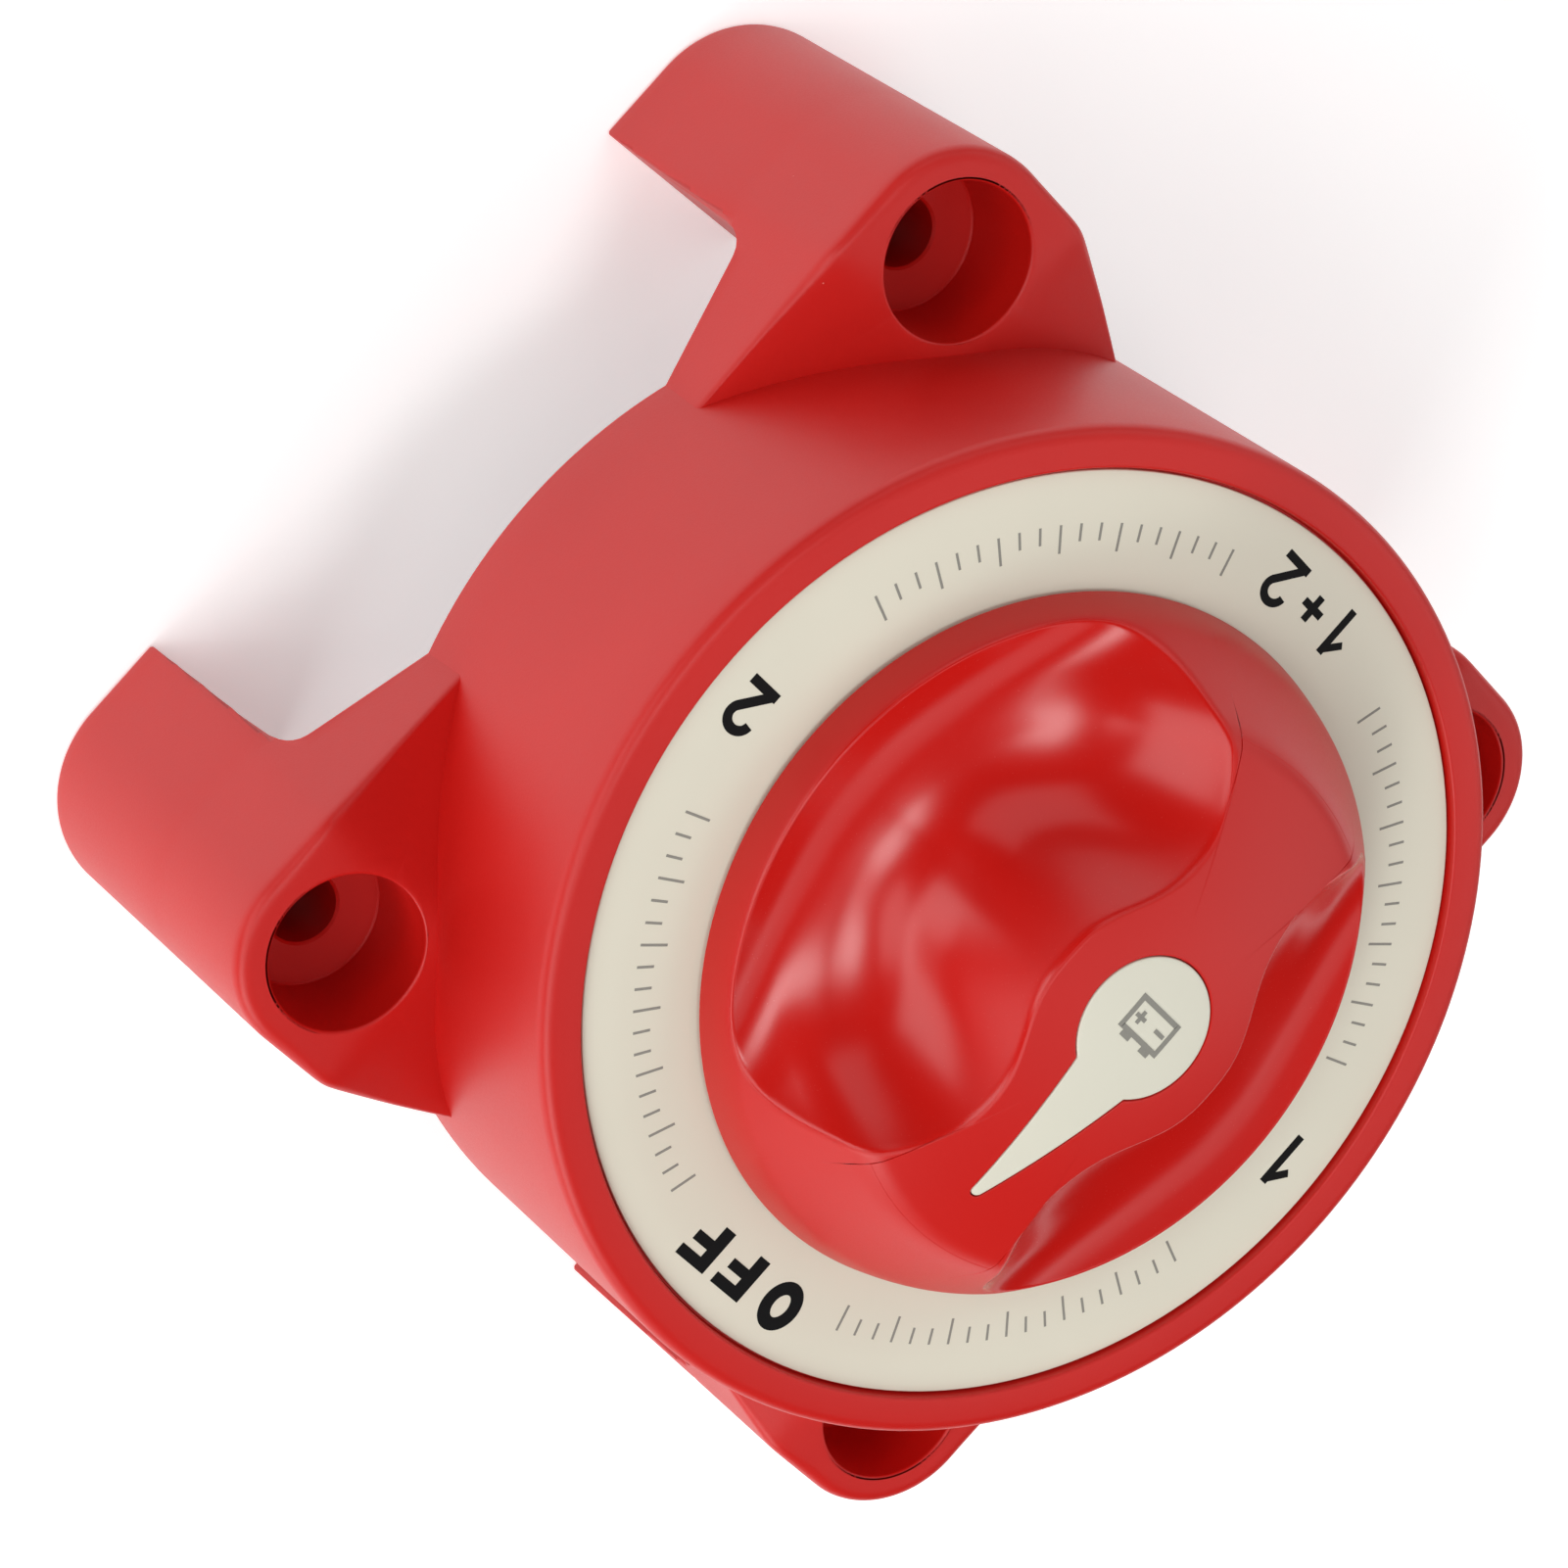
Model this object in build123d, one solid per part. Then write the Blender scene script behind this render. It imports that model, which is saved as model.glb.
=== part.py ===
from build123d import *
import os
from math import cos, radians, sin, sqrt, tan

# Battery selector switch, four positions. Millimetres. The origin is the centre of the
# mounting plane, +Z points out of the dial along the knob's axis, and +Y is the OFF mark.

# ---- driving dimensions ----
hole_pitch = 100.0          # the four mounting holes stand on this square
screw_hole_r = 4.15         # clearance for an M8 or 5/16 in screw
counterbore_r = 9.1
counterbore_floor_z = 39.6
boss_foot_r = 14.65
boss_top_z = 53.0
boss_draft_deg = 2.0
leg_inner_foot = 39.6       # each leg's inner sides, from the middle planes, at the foot
leg_inner_top = 37.8        # and where the leg meets the web
leg_wall = 2.8
leg_core_z = 36.0           # roof of the hollow under a leg
web_core_z = 41.5
web_tip = (57.3, 19.7)      # where a web's side meets the round body
web_corner = 40.4           # where the side turns in towards that tip
tip_fall = 0.42             # slope of the web's top towards its tips

body_top_r = 59.5
body_foot_r = 60.6
skirt_z = 35.5              # bottom edge of the round body
rim_z = 78.9                # top of the raised rim round the dial
dial_z = 78.0               # face of the dial
dial_r = 54.5
dial_inner_r = 36.0
dial_thickness = 0.8
recess_r = dial_r + 0.3
recess_z = dial_z - dial_thickness
ceiling_z = 73.8
cavity_r = 55.0
skirt_inner_r = 57.4
ledge_z = 45.0

plate_z0 = 38.0             # base plate, underside and top
plate_z1 = 44.0
plate_r = 57.1
stud_r = 5.0                # M10 terminal studs
stud_end_z = 8.0
thread_r = 4.6              # pitch cylinder, which stands in for the engaged threads
shank_r = 5.6               # plain shank pressed into the base plate
washer_hole_r = 5.25
stud_places = {"common": (0.0, 30.0), "1": (-21.2, -21.2), "2": (21.2, -21.2)}
pad_thickness = 4.0
pad_z1 = plate_z1 + pad_thickness
arm_z1 = plate_z1 + 2.0     # the common bar passes under the moving contact

shaft_r = 6.0
running_gap = 0.05
bush_r = 9.0
bush_z0 = 65.1
bush_flange_r = 11.5
bush_flange_z1 = 67.1
thrust_z0 = 64.0
thrust_z1 = 65.05

contact_z0 = pad_z1 + running_gap
contact_z1 = contact_z0 + 3.0
contact_half_angle = 50.0
contact_r = 38.0
rotor_z0 = 54.0
rotor_z1 = 62.0
rotor_r = 41.0
notch_r = 2.6
notch_depth = 1.5

knob_z0 = 78.6
knob_base_r = 41.2
knob_rim_r = 40.0
knob_rim_z = 83.3
knob_top_r = 31.8
knob_top_z = 96.2
knob_apex_z = 102.3
scoop_floor_z = 80.8
dome_rise = knob_apex_z - knob_top_z
dome_r = (knob_top_r**2 + dome_rise**2) / (2 * dome_rise)
drive_square = 8.4
socket_top_z = 90.0
screw_seat_z = 93.0

inlay_head_r = 8.2
inlay_tip_y = 25.1
inlay_tip_r = 0.7
inlay_depth = 1.2
inlay_gap = 0.15

FOOT = (Align.CENTER, Align.CENTER, Align.MIN)
half_pitch = hole_pitch / 2


# ---- small helpers ----
def rod(radius, z0, z1, x=0.0, y=0.0):
    """Round bar along Z."""
    return Pos(x, y, z0) * Cylinder(radius, z1 - z0, align=FOOT)


def ring(outer_r, inner_r, z0, z1, x=0.0, y=0.0):
    """Flat ring or tube along Z."""
    return rod(outer_r, z0, z1, x, y) - rod(inner_r, z0, z1, x, y)


def block(x0, x1, y0, y1, z0, z1):
    """Rectangular block between two corners."""
    return Pos((x0 + x1) / 2, (y0 + y1) / 2, z0) * Box(x1 - x0, y1 - y0, z1 - z0, align=FOOT)


def hexagon(across_flats, hole_r, z0, z1, x=0.0, y=0.0):
    """Hexagon nut blank with a round hole and chamfered corners."""
    corner_r = across_flats / sqrt(3)
    nut = extrude(Pos(x, y, z0) * RegularPolygon(corner_r, 6), z1 - z0)
    blank = rod(corner_r, z0, z1, x, y)
    nut &= chamfer(blank.edges().filter_by(GeomType.CIRCLE), 0.08 * across_flats)
    return nut - rod(hole_r, z0, z1, x, y)


def turned(points):
    """Solid of revolution about Z from (radius, height) points."""
    return revolve(Plane.XZ * make_face(Polyline(*points, close=True)), Axis.Z)


def polar(radius, degrees):
    """X and Y of a point given by radius and angle from +X."""
    return radius * cos(radians(degrees)), radius * sin(radians(degrees))


def sector(outer_r, inner_r, middle_deg, half_deg, z0, z1):
    """Part of a ring, half_deg to each side of middle_deg."""
    reach = 2 * outer_r
    edge = [polar(reach, middle_deg + half_deg * step / 2) for step in (-2, -1, 0, 1, 2)]
    wedge = extrude(Pos(0, 0, z0) * make_face(Polyline((0, 0), *edge, close=True)), z1 - z0)
    return ring(outer_r, inner_r, z0, z1) & wedge


def quarter_turns(shape):
    """The shape and its copies at 90, 180 and 270 degrees."""
    return [Rot(0, 0, 90 * turn) * shape for turn in range(4)]


def circles_at(shape, z, radius):
    """The round edges of one radius at one height."""
    edges = shape.edges().filter_by(GeomType.CIRCLE)
    return edges.filter_by(lambda e: abs(e.center().Z - z) < 1e-3 and abs(e.radius - radius) < 1e-3)


# ---- cover: round body with four hollow legs ----
def leg_outline(radius, inner):
    """Leg section: square inner corner, outer corner rounded about the screw axis."""
    c = half_pitch
    far = c + radius
    with BuildSketch() as section:
        with BuildLine():
            Polyline((c, far), (inner, far), (inner, inner), (far, inner), (far, c))
            JernArc((far, c), (0, 1), radius, 90)
        make_face()
    return section.sketch


def web_outline(radius):
    """Web section: round the boss, straight on past it, then in to the round body."""
    c = half_pitch
    side = c + radius
    nose = c + radius / sqrt(2)
    far_tip = (web_tip[1], web_tip[0])
    with BuildSketch() as section:
        with BuildLine():
            ThreePointArc((side, c), (nose, nose), (c, side))
            Polyline((c, side), (web_corner, side), far_tip, (10, 40))
            Polyline((10, 40), (40, 10), web_tip, (side, web_corner), (side, c))
        make_face()
    return section.sketch


def boss_r(z):
    """Outer radius of the boss at a height, with its draft."""
    return boss_foot_r - z * tan(radians(boss_draft_deg))


def leg():
    """One leg with its web, still without its holes."""
    join_z = skirt_z + 1
    foot_section = leg_outline(boss_foot_r, leg_inner_foot)
    join_section = Pos(0, 0, join_z) * leg_outline(boss_r(join_z), leg_inner_top)
    foot = loft([foot_section, join_section], ruled=True)
    web_section = Pos(0, 0, skirt_z) * web_outline(boss_r(skirt_z))
    web = extrude(web_section, boss_top_z - skirt_z, taper=boss_draft_deg)
    crease = half_pitch - counterbore_r - 0.4
    low_z = boss_top_z - tip_fall * crease
    profile = make_face(
        Polyline((crease, boss_top_z), (0, low_z), (0, rim_z), (crease, rim_z), close=True)
    )
    slope = extrude(Plane.YZ * profile, 80)
    return foot + web - slope - slope.mirror(Plane((0, 0, 0), z_dir=(1, -1, 0)))


def leg_cores():
    """Hollows under a leg and its web that keep the walls even, open downwards."""
    outline = leg_outline(boss_foot_r - leg_wall, leg_inner_foot + leg_wall)
    hollow = extrude(outline, leg_core_z, taper=boss_draft_deg)
    hollow -= Pos(half_pitch, half_pitch, 0) * Cone(7.4, 8.2, leg_core_z, align=FOOT)
    hollow -= Rot(0, 0, 45) * block(0, 100, -1.1, 1.1, 4, leg_core_z)
    under_web = offset(web_outline(boss_r(skirt_z)), -leg_wall)
    web_hollow = extrude(Pos(0, 0, skirt_z - 1) * under_web, web_core_z - skirt_z + 1)
    web_hollow -= rod(body_foot_r, 0, rim_z)
    web_hollow -= block(leg_inner_top - 1, 70, leg_inner_top - 1, 70, 0, rim_z)
    return hollow + web_hollow


def spring_post(side):
    """Slotted post pair that holds the ends of one leaf spring."""
    post = block(side * 45 - 2.6, side * 45 + 2.6, 15.5, 19.5, 53.5, ceiling_z + 1)
    slot = block(side * 44.6 - 0.3, side * 44.6 + 0.3, 10, 18.3, 53.5, 61.0)
    post -= slot
    return post + post.mirror(Plane.XZ)


def cover():
    outside = turned([(0, skirt_z), (body_foot_r, skirt_z), (body_top_r, rim_z), (0, rim_z)])
    outside = fillet(circles_at(outside, rim_z, body_top_r), 1.6)
    legs = quarter_turns(leg())
    solid = outside
    for one_leg in legs:
        solid += one_leg
    cavity = rod(skirt_inner_r, skirt_z - 1, ledge_z) + rod(cavity_r, skirt_z - 1, ceiling_z)
    solid -= cavity
    solid -= rod(recess_r, recess_z, rim_z + 1)
    column_x, column_y = polar(50.5, 45)
    column = rod(4.6, plate_z1, ceiling_z + 1, column_x, column_y)
    column += Rot(0, 0, 45) * block(50.5, cavity_r + 0.5, -2, 2, ledge_z, ceiling_z + 1)
    for turned_column in quarter_turns(column):
        solid += turned_column
    solid += rod(14.0, bush_flange_z1, ceiling_z + 1)
    solid += spring_post(1) + spring_post(-1)
    solid -= rod(bush_r, 0, rim_z)
    solid -= rod(bush_flange_r, 0, bush_flange_z1)
    openings = rod(screw_hole_r, -1, boss_top_z + 1, half_pitch, half_pitch)
    openings += rod(counterbore_r, counterbore_floor_z, rim_z, half_pitch, half_pitch)
    openings += leg_cores()
    openings += rod(1.9, plate_z0, 60.0, column_x, column_y)
    for turned_opening in quarter_turns(openings):
        solid -= turned_opening
    return solid


# ---- dial and fixed parts round the shaft ----
def dial_ring():
    return ring(dial_r, dial_inner_r, recess_z, dial_z)


def shaft_bush():
    bush = ring(bush_r, shaft_r + running_gap, bush_z0, recess_z)
    bush += ring(bush_flange_r, shaft_r + running_gap, bush_z0, bush_flange_z1)
    return bush - rod(8.0, recess_z - 2.6, recess_z)


def shaft_seal():
    """O-ring in the counterbore at the top of the bush."""
    section_r = 0.95
    return Pos(0, 0, recess_z - 1.6) * Torus(shaft_r + running_gap + section_r, section_r)


# ---- base plate with its seal and screws ----
def base_plate():
    plate = rod(plate_r, plate_z0, plate_z1)
    plate = chamfer(circles_at(plate, plate_z0, plate_r), 0.8)
    for angle in (30, 150, 270):
        plate += Rot(0, 0, angle) * block(7, 45, -1.4, 1.4, 29.5, plate_z0 + 1)
    for x, y in stud_places.values():
        plate += rod(12.5, plate_z0 - 1.2, plate_z0 + 1, x, y)
        plate -= rod(shank_r, 0, rim_z, x, y)
    for angle in (45, 135, 225, 315):
        plate -= rod(2.2, 0, rim_z, *polar(50.5, angle))
    return plate - rod(4.0 + running_gap, plate_z0 + 2, rim_z)


def base_gasket():
    gasket = ring(plate_r, cavity_r + 0.1, plate_z1, ledge_z)
    for angle in (45, 135, 225, 315):
        gasket -= rod(4.7, plate_z1, ledge_z, *polar(50.5, angle))
    return gasket


def base_screws():
    """Four pan-head screws with a cross recess, driven up from below."""
    screw = rod(3.7, plate_z0 - 2.4, plate_z0)
    screw = fillet(circles_at(screw, plate_z0 - 2.4, 3.7), 1.2)
    screw += rod(1.9, plate_z0, 58.0)
    cross = block(-2.2, 2.2, -0.45, 0.45, plate_z0 - 2.4, plate_z0 - 1.0)
    screw -= cross + Rot(0, 0, 90) * cross
    x, y = polar(50.5, 45)
    return Compound(children=quarter_turns(Pos(x, y, 0) * screw))


# ---- terminals, stacked downwards from the base plate ----
washer_z1 = plate_z0 - 1.2
jam_z1 = washer_z1 - 1.5
lug_washer_z1 = jam_z1 - 5.0
lock_z1 = lug_washer_z1 - 1.6
lug_nut_z1 = lock_z1 - 2.2
lug_nut_z0 = lug_nut_z1 - 8.0
free_end_z1 = lug_nut_z0 - 0.3


def terminal_stud(name):
    """Stud with a free end, threads under its nuts, a pressed-in shank and a riveted spigot."""
    x, y = stud_places[name]
    top = arm_z1 if name == "common" else pad_z1
    stud = rod(stud_r, stud_end_z, free_end_z1, x, y)
    stud = chamfer(circles_at(stud, stud_end_z, stud_r), 0.9)
    stud += rod(thread_r, free_end_z1, washer_z1, x, y)
    stud += rod(shank_r, washer_z1, plate_z1, x, y)
    return stud + rod(4.0, plate_z1, top, x, y)


def contact_pad(name):
    """Fixed contact of battery 1 or 2, a thick copper sector."""
    x, y = stud_places[name]
    middle = 225 if name == "1" else 315
    return sector(contact_r, 21.5, middle, 15, plate_z1, pad_z1) - rod(4.0, plate_z1, pad_z1, x, y)


def common_contact():
    """Raised centre ring with a lower bar out to the common stud."""
    x, y = stud_places["common"]
    bar = block(-6.5, 6.5, 12, y, plate_z1, arm_z1) + rod(8.5, plate_z1, arm_z1, x, y)
    contact = ring(17.0, 10.0, plate_z1, pad_z1) + bar
    return contact - rod(10.0, plate_z1, pad_z1) - rod(4.0, plate_z1, pad_z1, x, y)


def at_studs(make):
    """One copy of a part at each stud."""
    return Compound(children=[make(x, y) for x, y in stud_places.values()])


def stud_washers():
    return at_studs(lambda x, y: ring(10.0, washer_hole_r, jam_z1, washer_z1, x, y))


def jam_nuts():
    return at_studs(lambda x, y: hexagon(17.0, thread_r, lug_washer_z1, jam_z1, x, y))


def lug_washers():
    return at_studs(lambda x, y: ring(10.0, washer_hole_r, lock_z1, lug_washer_z1, x, y))


def split_washer(x, y):
    """Spring lock washer with its slanted split."""
    washer = ring(8.6, washer_hole_r, lug_nut_z1, lock_z1, x, y)
    split = Pos(x + 6.8, y, (lug_nut_z1 + lock_z1) / 2) * (Rot(20, 0, 0) * Box(6, 0.9, 8))
    return washer - split


def lock_washers():
    return at_studs(split_washer)


def lug_nuts():
    return at_studs(lambda x, y: hexagon(17.0, thread_r, lug_nut_z0, lug_nut_z1, x, y))


# ---- detent springs ----
def detent_spring(side):
    """Leaf spring with a rounded nose that drops into a notch of the rotor's rim."""
    leaf_x = side * 44.6
    leaf = block(leaf_x - 0.3, leaf_x + 0.3, -18.3, 18.3, 54.5, 60.5)
    nose_r = notch_r - running_gap
    nose_x = side * (rotor_r + notch_r - notch_depth)
    nose = rod(nose_r, 54.5, 60.5, nose_x, 0)
    bridge = block(min(nose_x, leaf_x), max(nose_x, leaf_x), -1.6, 1.6, 54.5, 60.5)
    hollow = rod(nose_r - 0.6, 54.5, 60.5, nose_x, 0)
    return leaf + (nose + bridge - hollow)


# ---- turning parts ----
def spindle():
    """Shaft with a square for the knob, a collar, a square for the rotor and a pivot."""
    shaft = rod(4.0, plate_z0 + 2.2, 47.0)
    shaft += Pos(0, 0, 47.0) * Box(10, 10, rotor_z1 - 47.0, align=FOOT)
    shaft += rod(9.0, rotor_z1, thrust_z0)
    shaft += rod(shaft_r, thrust_z0, knob_z0 + 0.4)
    shaft += Pos(0, 0, knob_z0) * Box(drive_square, drive_square, socket_top_z - knob_z0, align=FOOT)
    return shaft - rod(2.5, socket_top_z - 12, socket_top_z)


def thrust_washer():
    return ring(9.0, shaft_r, thrust_z0, thrust_z1)


def rotor():
    """Contact carrier: disc with detent notches, hub, drive pegs and spring pockets."""
    disc = rod(rotor_r, rotor_z0, rotor_z1)
    disc += rod(9.6, 47.0, rotor_z0)
    for angle in (52, 128):
        disc += rod(3.0, contact_z0 + 0.5, rotor_z0, *polar(29, angle))
    for x, y in spring_places():
        disc -= rod(4.0, rotor_z0, rotor_z0 + 5, x, y)
    for angle in (0, 90, 180, 270):
        disc -= rod(notch_r, rotor_z0, rotor_z1, *polar(rotor_r + notch_r - notch_depth, angle))
    return disc - Pos(0, 0, 47.0) * Box(10, 10, 20, align=FOOT)


def spring_places():
    return [polar(31, 75), polar(31, 105), polar(13.5, 270)]


def contact_plate():
    """Moving contact, a copper fan on a ring that always rides on the common contact."""
    plate = sector(contact_r, 12.0, 90, contact_half_angle, contact_z0, contact_z1)
    plate += ring(17.5, 9.7, contact_z0, contact_z1)
    for angle in (52, 128):
        plate -= rod(3.1, contact_z0, contact_z1, *polar(29, angle))
    return plate


def contact_springs():
    """Three compression springs in the rotor's pockets, each wound as a helix."""
    wire_r = 0.45
    height = rotor_z0 + 5 - contact_z1 - 2 * wire_r
    path = Helix(pitch=height / 5, height=height, radius=3.0)
    wire = sweep(Plane(path @ 0, z_dir=path % 0) * Circle(wire_r), path=path)
    return Compound(children=[Pos(x, y, contact_z1 + wire_r) * wire for x, y in spring_places()])


# ---- knob ----
def dome(drop):
    """Ball whose top is the knob's crown, lowered by drop."""
    return Pos(0, 0, knob_apex_z - dome_r) * Sphere(dome_r - drop)


def scoop_outline(z, grow):
    """Plan of a finger scoop; grow moves its whole outline outwards."""
    outer = 39.0 + 0.35 * grow
    side = [(13.6, 0), (12.5, 6), (9.4, 11.5), (7.6, 17), (8.0, 22.5), (9.6, 27.0)]
    inner = [(x + 5.2 - grow, y) for x, y in side]
    corner = polar(outer, 59 + 0.35 * grow)
    turn = (inner[-1][0] + 2.2, 31.5 + 0.4 * grow)
    half = inner + [turn]
    both = [(x, -y) for x, y in reversed(half[1:])] + half
    with BuildSketch(Plane.XY.offset(z)) as plan:
        with BuildLine():
            Spline(*both)
            Line(both[-1], corner)
            ThreePointArc(corner, (outer, 0), (corner[0], -corner[1]))
            Line((corner[0], -corner[1]), both[0])
        make_face()
    return plan.sketch


def scoop():
    """Cutter of one finger scoop, narrower at the floor."""
    top_z = knob_apex_z + 1
    cutter = loft([scoop_outline(scoop_floor_z, 0), scoop_outline(top_z, 5.2)], ruled=True)
    floor_edges = cutter.edges().filter_by(lambda e: abs(e.center().Z - scoop_floor_z) < 1e-3)
    return fillet(floor_edges, 2.0)


def inlay_outline(grow):
    """Pointer plan: round head on the axis and a long point towards +Y."""
    root_y = 7.1
    root_half = 4.25 + grow
    tip_centre_y = inlay_tip_y - inlay_tip_r
    tip_r = inlay_tip_r + grow
    head = Circle(inlay_head_r + grow)
    taper = make_face(
        Polyline(
            (-root_half, root_y - 2),
            (root_half, root_y - 2),
            (root_half, root_y),
            (tip_r, tip_centre_y),
            (-tip_r, tip_centre_y),
            (-root_half, root_y),
            close=True,
        )
    )
    return head + taper + Pos(0, tip_centre_y) * Circle(tip_r)


def knob():
    profile = [
        (0, knob_z0),
        (knob_base_r, knob_z0),
        (knob_rim_r, knob_rim_z),
        (knob_top_r, knob_top_z),
        (knob_top_r, knob_apex_z),
        (0, knob_apex_z),
    ]
    solid = turned(profile) & dome(0)
    solid -= scoop()
    solid -= Rot(0, 0, 180) * scoop()
    pocket = extrude(Pos(0, 0, socket_top_z) * inlay_outline(inlay_gap), 20) - dome(inlay_depth)
    solid -= pocket
    for side in (1, -1):
        hollow = block(-5.0, 5.0, 14.5, 27.0, knob_z0, 92.0)
        hollow = fillet(hollow.edges().filter_by(Axis.Z), 2.0)
        solid -= hollow if side == 1 else hollow.mirror(Plane.XZ)
    solid -= Pos(0, 0, knob_z0) * Box(drive_square, drive_square, socket_top_z - knob_z0, align=FOOT)
    solid -= rod(shaft_r + 0.1, knob_z0, knob_z0 + 0.5)
    solid -= rod(2.6, socket_top_z, screw_seat_z)
    return solid - rod(5.2, screw_seat_z, knob_apex_z)


def pointer_inlay():
    prism = extrude(Pos(0, 0, socket_top_z) * inlay_outline(0), 20)
    return (prism & dome(0)) - dome(inlay_depth)


def knob_screw():
    """Pan-head screw under the inlay that clamps the knob to the shaft."""
    head = fillet(circles_at(rod(4.6, screw_seat_z, 96.2), 96.2, 4.6), 1.0)
    screw = head + rod(2.5, socket_top_z - 11, screw_seat_z)
    cross = block(-2.6, 2.6, -0.5, 0.5, 94.6, 96.2)
    return screw - cross - Rot(0, 0, 90) * cross


# ---- write one STEP file per piece ----
PIECES = {
    "cover": cover,
    "dial_ring": dial_ring,
    "shaft_bush": shaft_bush,
    "shaft_seal": shaft_seal,
    "base_plate": base_plate,
    "base_gasket": base_gasket,
    "base_screws": base_screws,
    "stud_common": lambda: terminal_stud("common"),
    "stud_1": lambda: terminal_stud("1"),
    "stud_2": lambda: terminal_stud("2"),
    "contact_pad_1": lambda: contact_pad("1"),
    "contact_pad_2": lambda: contact_pad("2"),
    "common_contact": common_contact,
    "stud_washers": stud_washers,
    "jam_nuts": jam_nuts,
    "lug_washers": lug_washers,
    "lock_washers": lock_washers,
    "lug_nuts": lug_nuts,
    "detent_spring_right": lambda: detent_spring(1),
    "detent_spring_left": lambda: detent_spring(-1),
    "spindle": spindle,
    "thrust_washer": thrust_washer,
    "rotor": rotor,
    "contact_plate": contact_plate,
    "contact_springs": contact_springs,
    "knob": knob,
    "pointer_inlay": pointer_inlay,
    "knob_screw": knob_screw,
}

os.makedirs("parts", exist_ok=True)
for name, make in PIECES.items():
    piece = make()
    export_step(piece, f"parts/{name}.step")
    print(f"{name}: {piece.volume:.0f} mm3")
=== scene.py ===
# %% [markdown]
# # A battery selector switch
# A round red body stands on four hollow legs, and a big knob turns over a cream dial. The
# mechanical model already gives every piece its place and size, so this script gives them
# their looks. Pieces that are seen closely get a new surface worked out with numpy, and the
# small parts inside keep their own shape and get a material.

# %% Load the mechanical model
import bpy
import numpy as np
from mathutils import Matrix, Vector


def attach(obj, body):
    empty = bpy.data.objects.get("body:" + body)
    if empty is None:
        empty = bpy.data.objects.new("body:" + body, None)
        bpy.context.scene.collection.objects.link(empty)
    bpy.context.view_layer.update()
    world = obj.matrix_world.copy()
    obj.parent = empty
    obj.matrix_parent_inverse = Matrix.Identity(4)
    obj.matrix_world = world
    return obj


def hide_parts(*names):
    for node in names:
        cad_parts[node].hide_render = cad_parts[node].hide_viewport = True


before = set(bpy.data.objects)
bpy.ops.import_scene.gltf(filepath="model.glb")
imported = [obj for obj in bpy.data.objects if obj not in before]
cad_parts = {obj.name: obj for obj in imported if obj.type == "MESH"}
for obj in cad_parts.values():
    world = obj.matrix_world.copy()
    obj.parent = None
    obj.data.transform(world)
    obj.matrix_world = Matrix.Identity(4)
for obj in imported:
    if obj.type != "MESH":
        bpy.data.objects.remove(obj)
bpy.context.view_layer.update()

# %% [markdown]
# ## From a grid of points to a piece
# Most surfaces here are grids: one parameter runs along the rows and one along the columns.
# A grid that closes both ways is a ring, like a tyre, so it has neither rim nor pole to
# close. Sizes are in millimetres, because that is how such a moulding is drawn, and the
# last step turns them into metres.

# %% Grid helper
MM = 0.001


def new_piece(name, parts, smooth_angle, finish_numbers=None):
    """One object from several (vertices, faces) parts in millimetres. An edge that bends by
    more than smooth_angle degrees stays crisp. finish_numbers gives each part's slot."""
    vertices = np.concatenate([part[0] for part in parts])
    faces = []
    start = 0
    for points, polygons in parts:
        faces += [tuple(corner + start for corner in polygon) for polygon in polygons]
        start += len(points)
    mesh = bpy.data.meshes.new(name)
    mesh.from_pydata((vertices * MM).tolist(), [], faces)
    mesh.polygons.foreach_set("use_smooth", np.ones(len(mesh.polygons), bool))
    mesh.set_sharp_from_angle(angle=np.radians(smooth_angle))
    if finish_numbers is not None:
        counts = [len(part[1]) for part in parts]
        mesh.polygons.foreach_set("material_index", np.repeat(finish_numbers, counts))
    mesh.update()
    piece = bpy.data.objects.new(name, mesh)
    bpy.context.scene.collection.objects.link(piece)
    print(name, len(mesh.vertices), "vertices", len(mesh.polygons), "faces")
    return piece


def grid(points, close_rows=False, close_columns=True, cap=False):
    """Vertices and quads of a (rows, columns, 3) grid. Its faces look outwards when a turn
    along the columns, then along the rows, is a right-hand screw pointing out. cap adds a
    fan of triangles to the middle of the first and the last row."""
    rows, columns = points.shape[:2]
    index = np.arange(rows * columns).reshape(rows, columns)
    if close_rows:
        index = np.concatenate([index, index[:1]])
    if close_columns:
        index = np.concatenate([index, index[:, :1]], axis=1)
    quads = np.stack(
        [index[:-1, :-1], index[:-1, 1:], index[1:, 1:], index[1:, :-1]], axis=-1
    ).reshape(-1, 4)
    vertices = points.reshape(-1, 3)
    faces = quads.tolist()
    if cap:
        middle = len(vertices)
        vertices = np.concatenate([vertices, points[:1].mean(1), points[-1:].mean(1)])
        first, last = index[0], index[-1]
        faces += [[middle, b, a] for a, b in zip(first[:-1].tolist(), first[1:].tolist())]
        faces += [[middle + 1, a, b] for a, b in zip(last[:-1].tolist(), last[1:].tolist())]
    return vertices, faces


def smooth_min(a, b, width):
    """The lesser of two heights, with a round of the given width where they cross."""
    near = np.maximum(width - np.abs(a - b), 0) / width
    return np.minimum(a, b) - near**2 * width / 4


def smooth_max(a, b, width):
    """The greater of two heights, with a round where they cross."""
    return -smooth_min(-a, -b, width)


# %% [markdown]
# ## Rounded profiles
# A moulding has no truly sharp edge, and the light along its edges is what makes it look
# real. A profile is therefore written as corners, each with its own setback, and every
# corner becomes a short curve: a parabola that leaves one side at the setback and meets the
# other side at the same distance.

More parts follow.
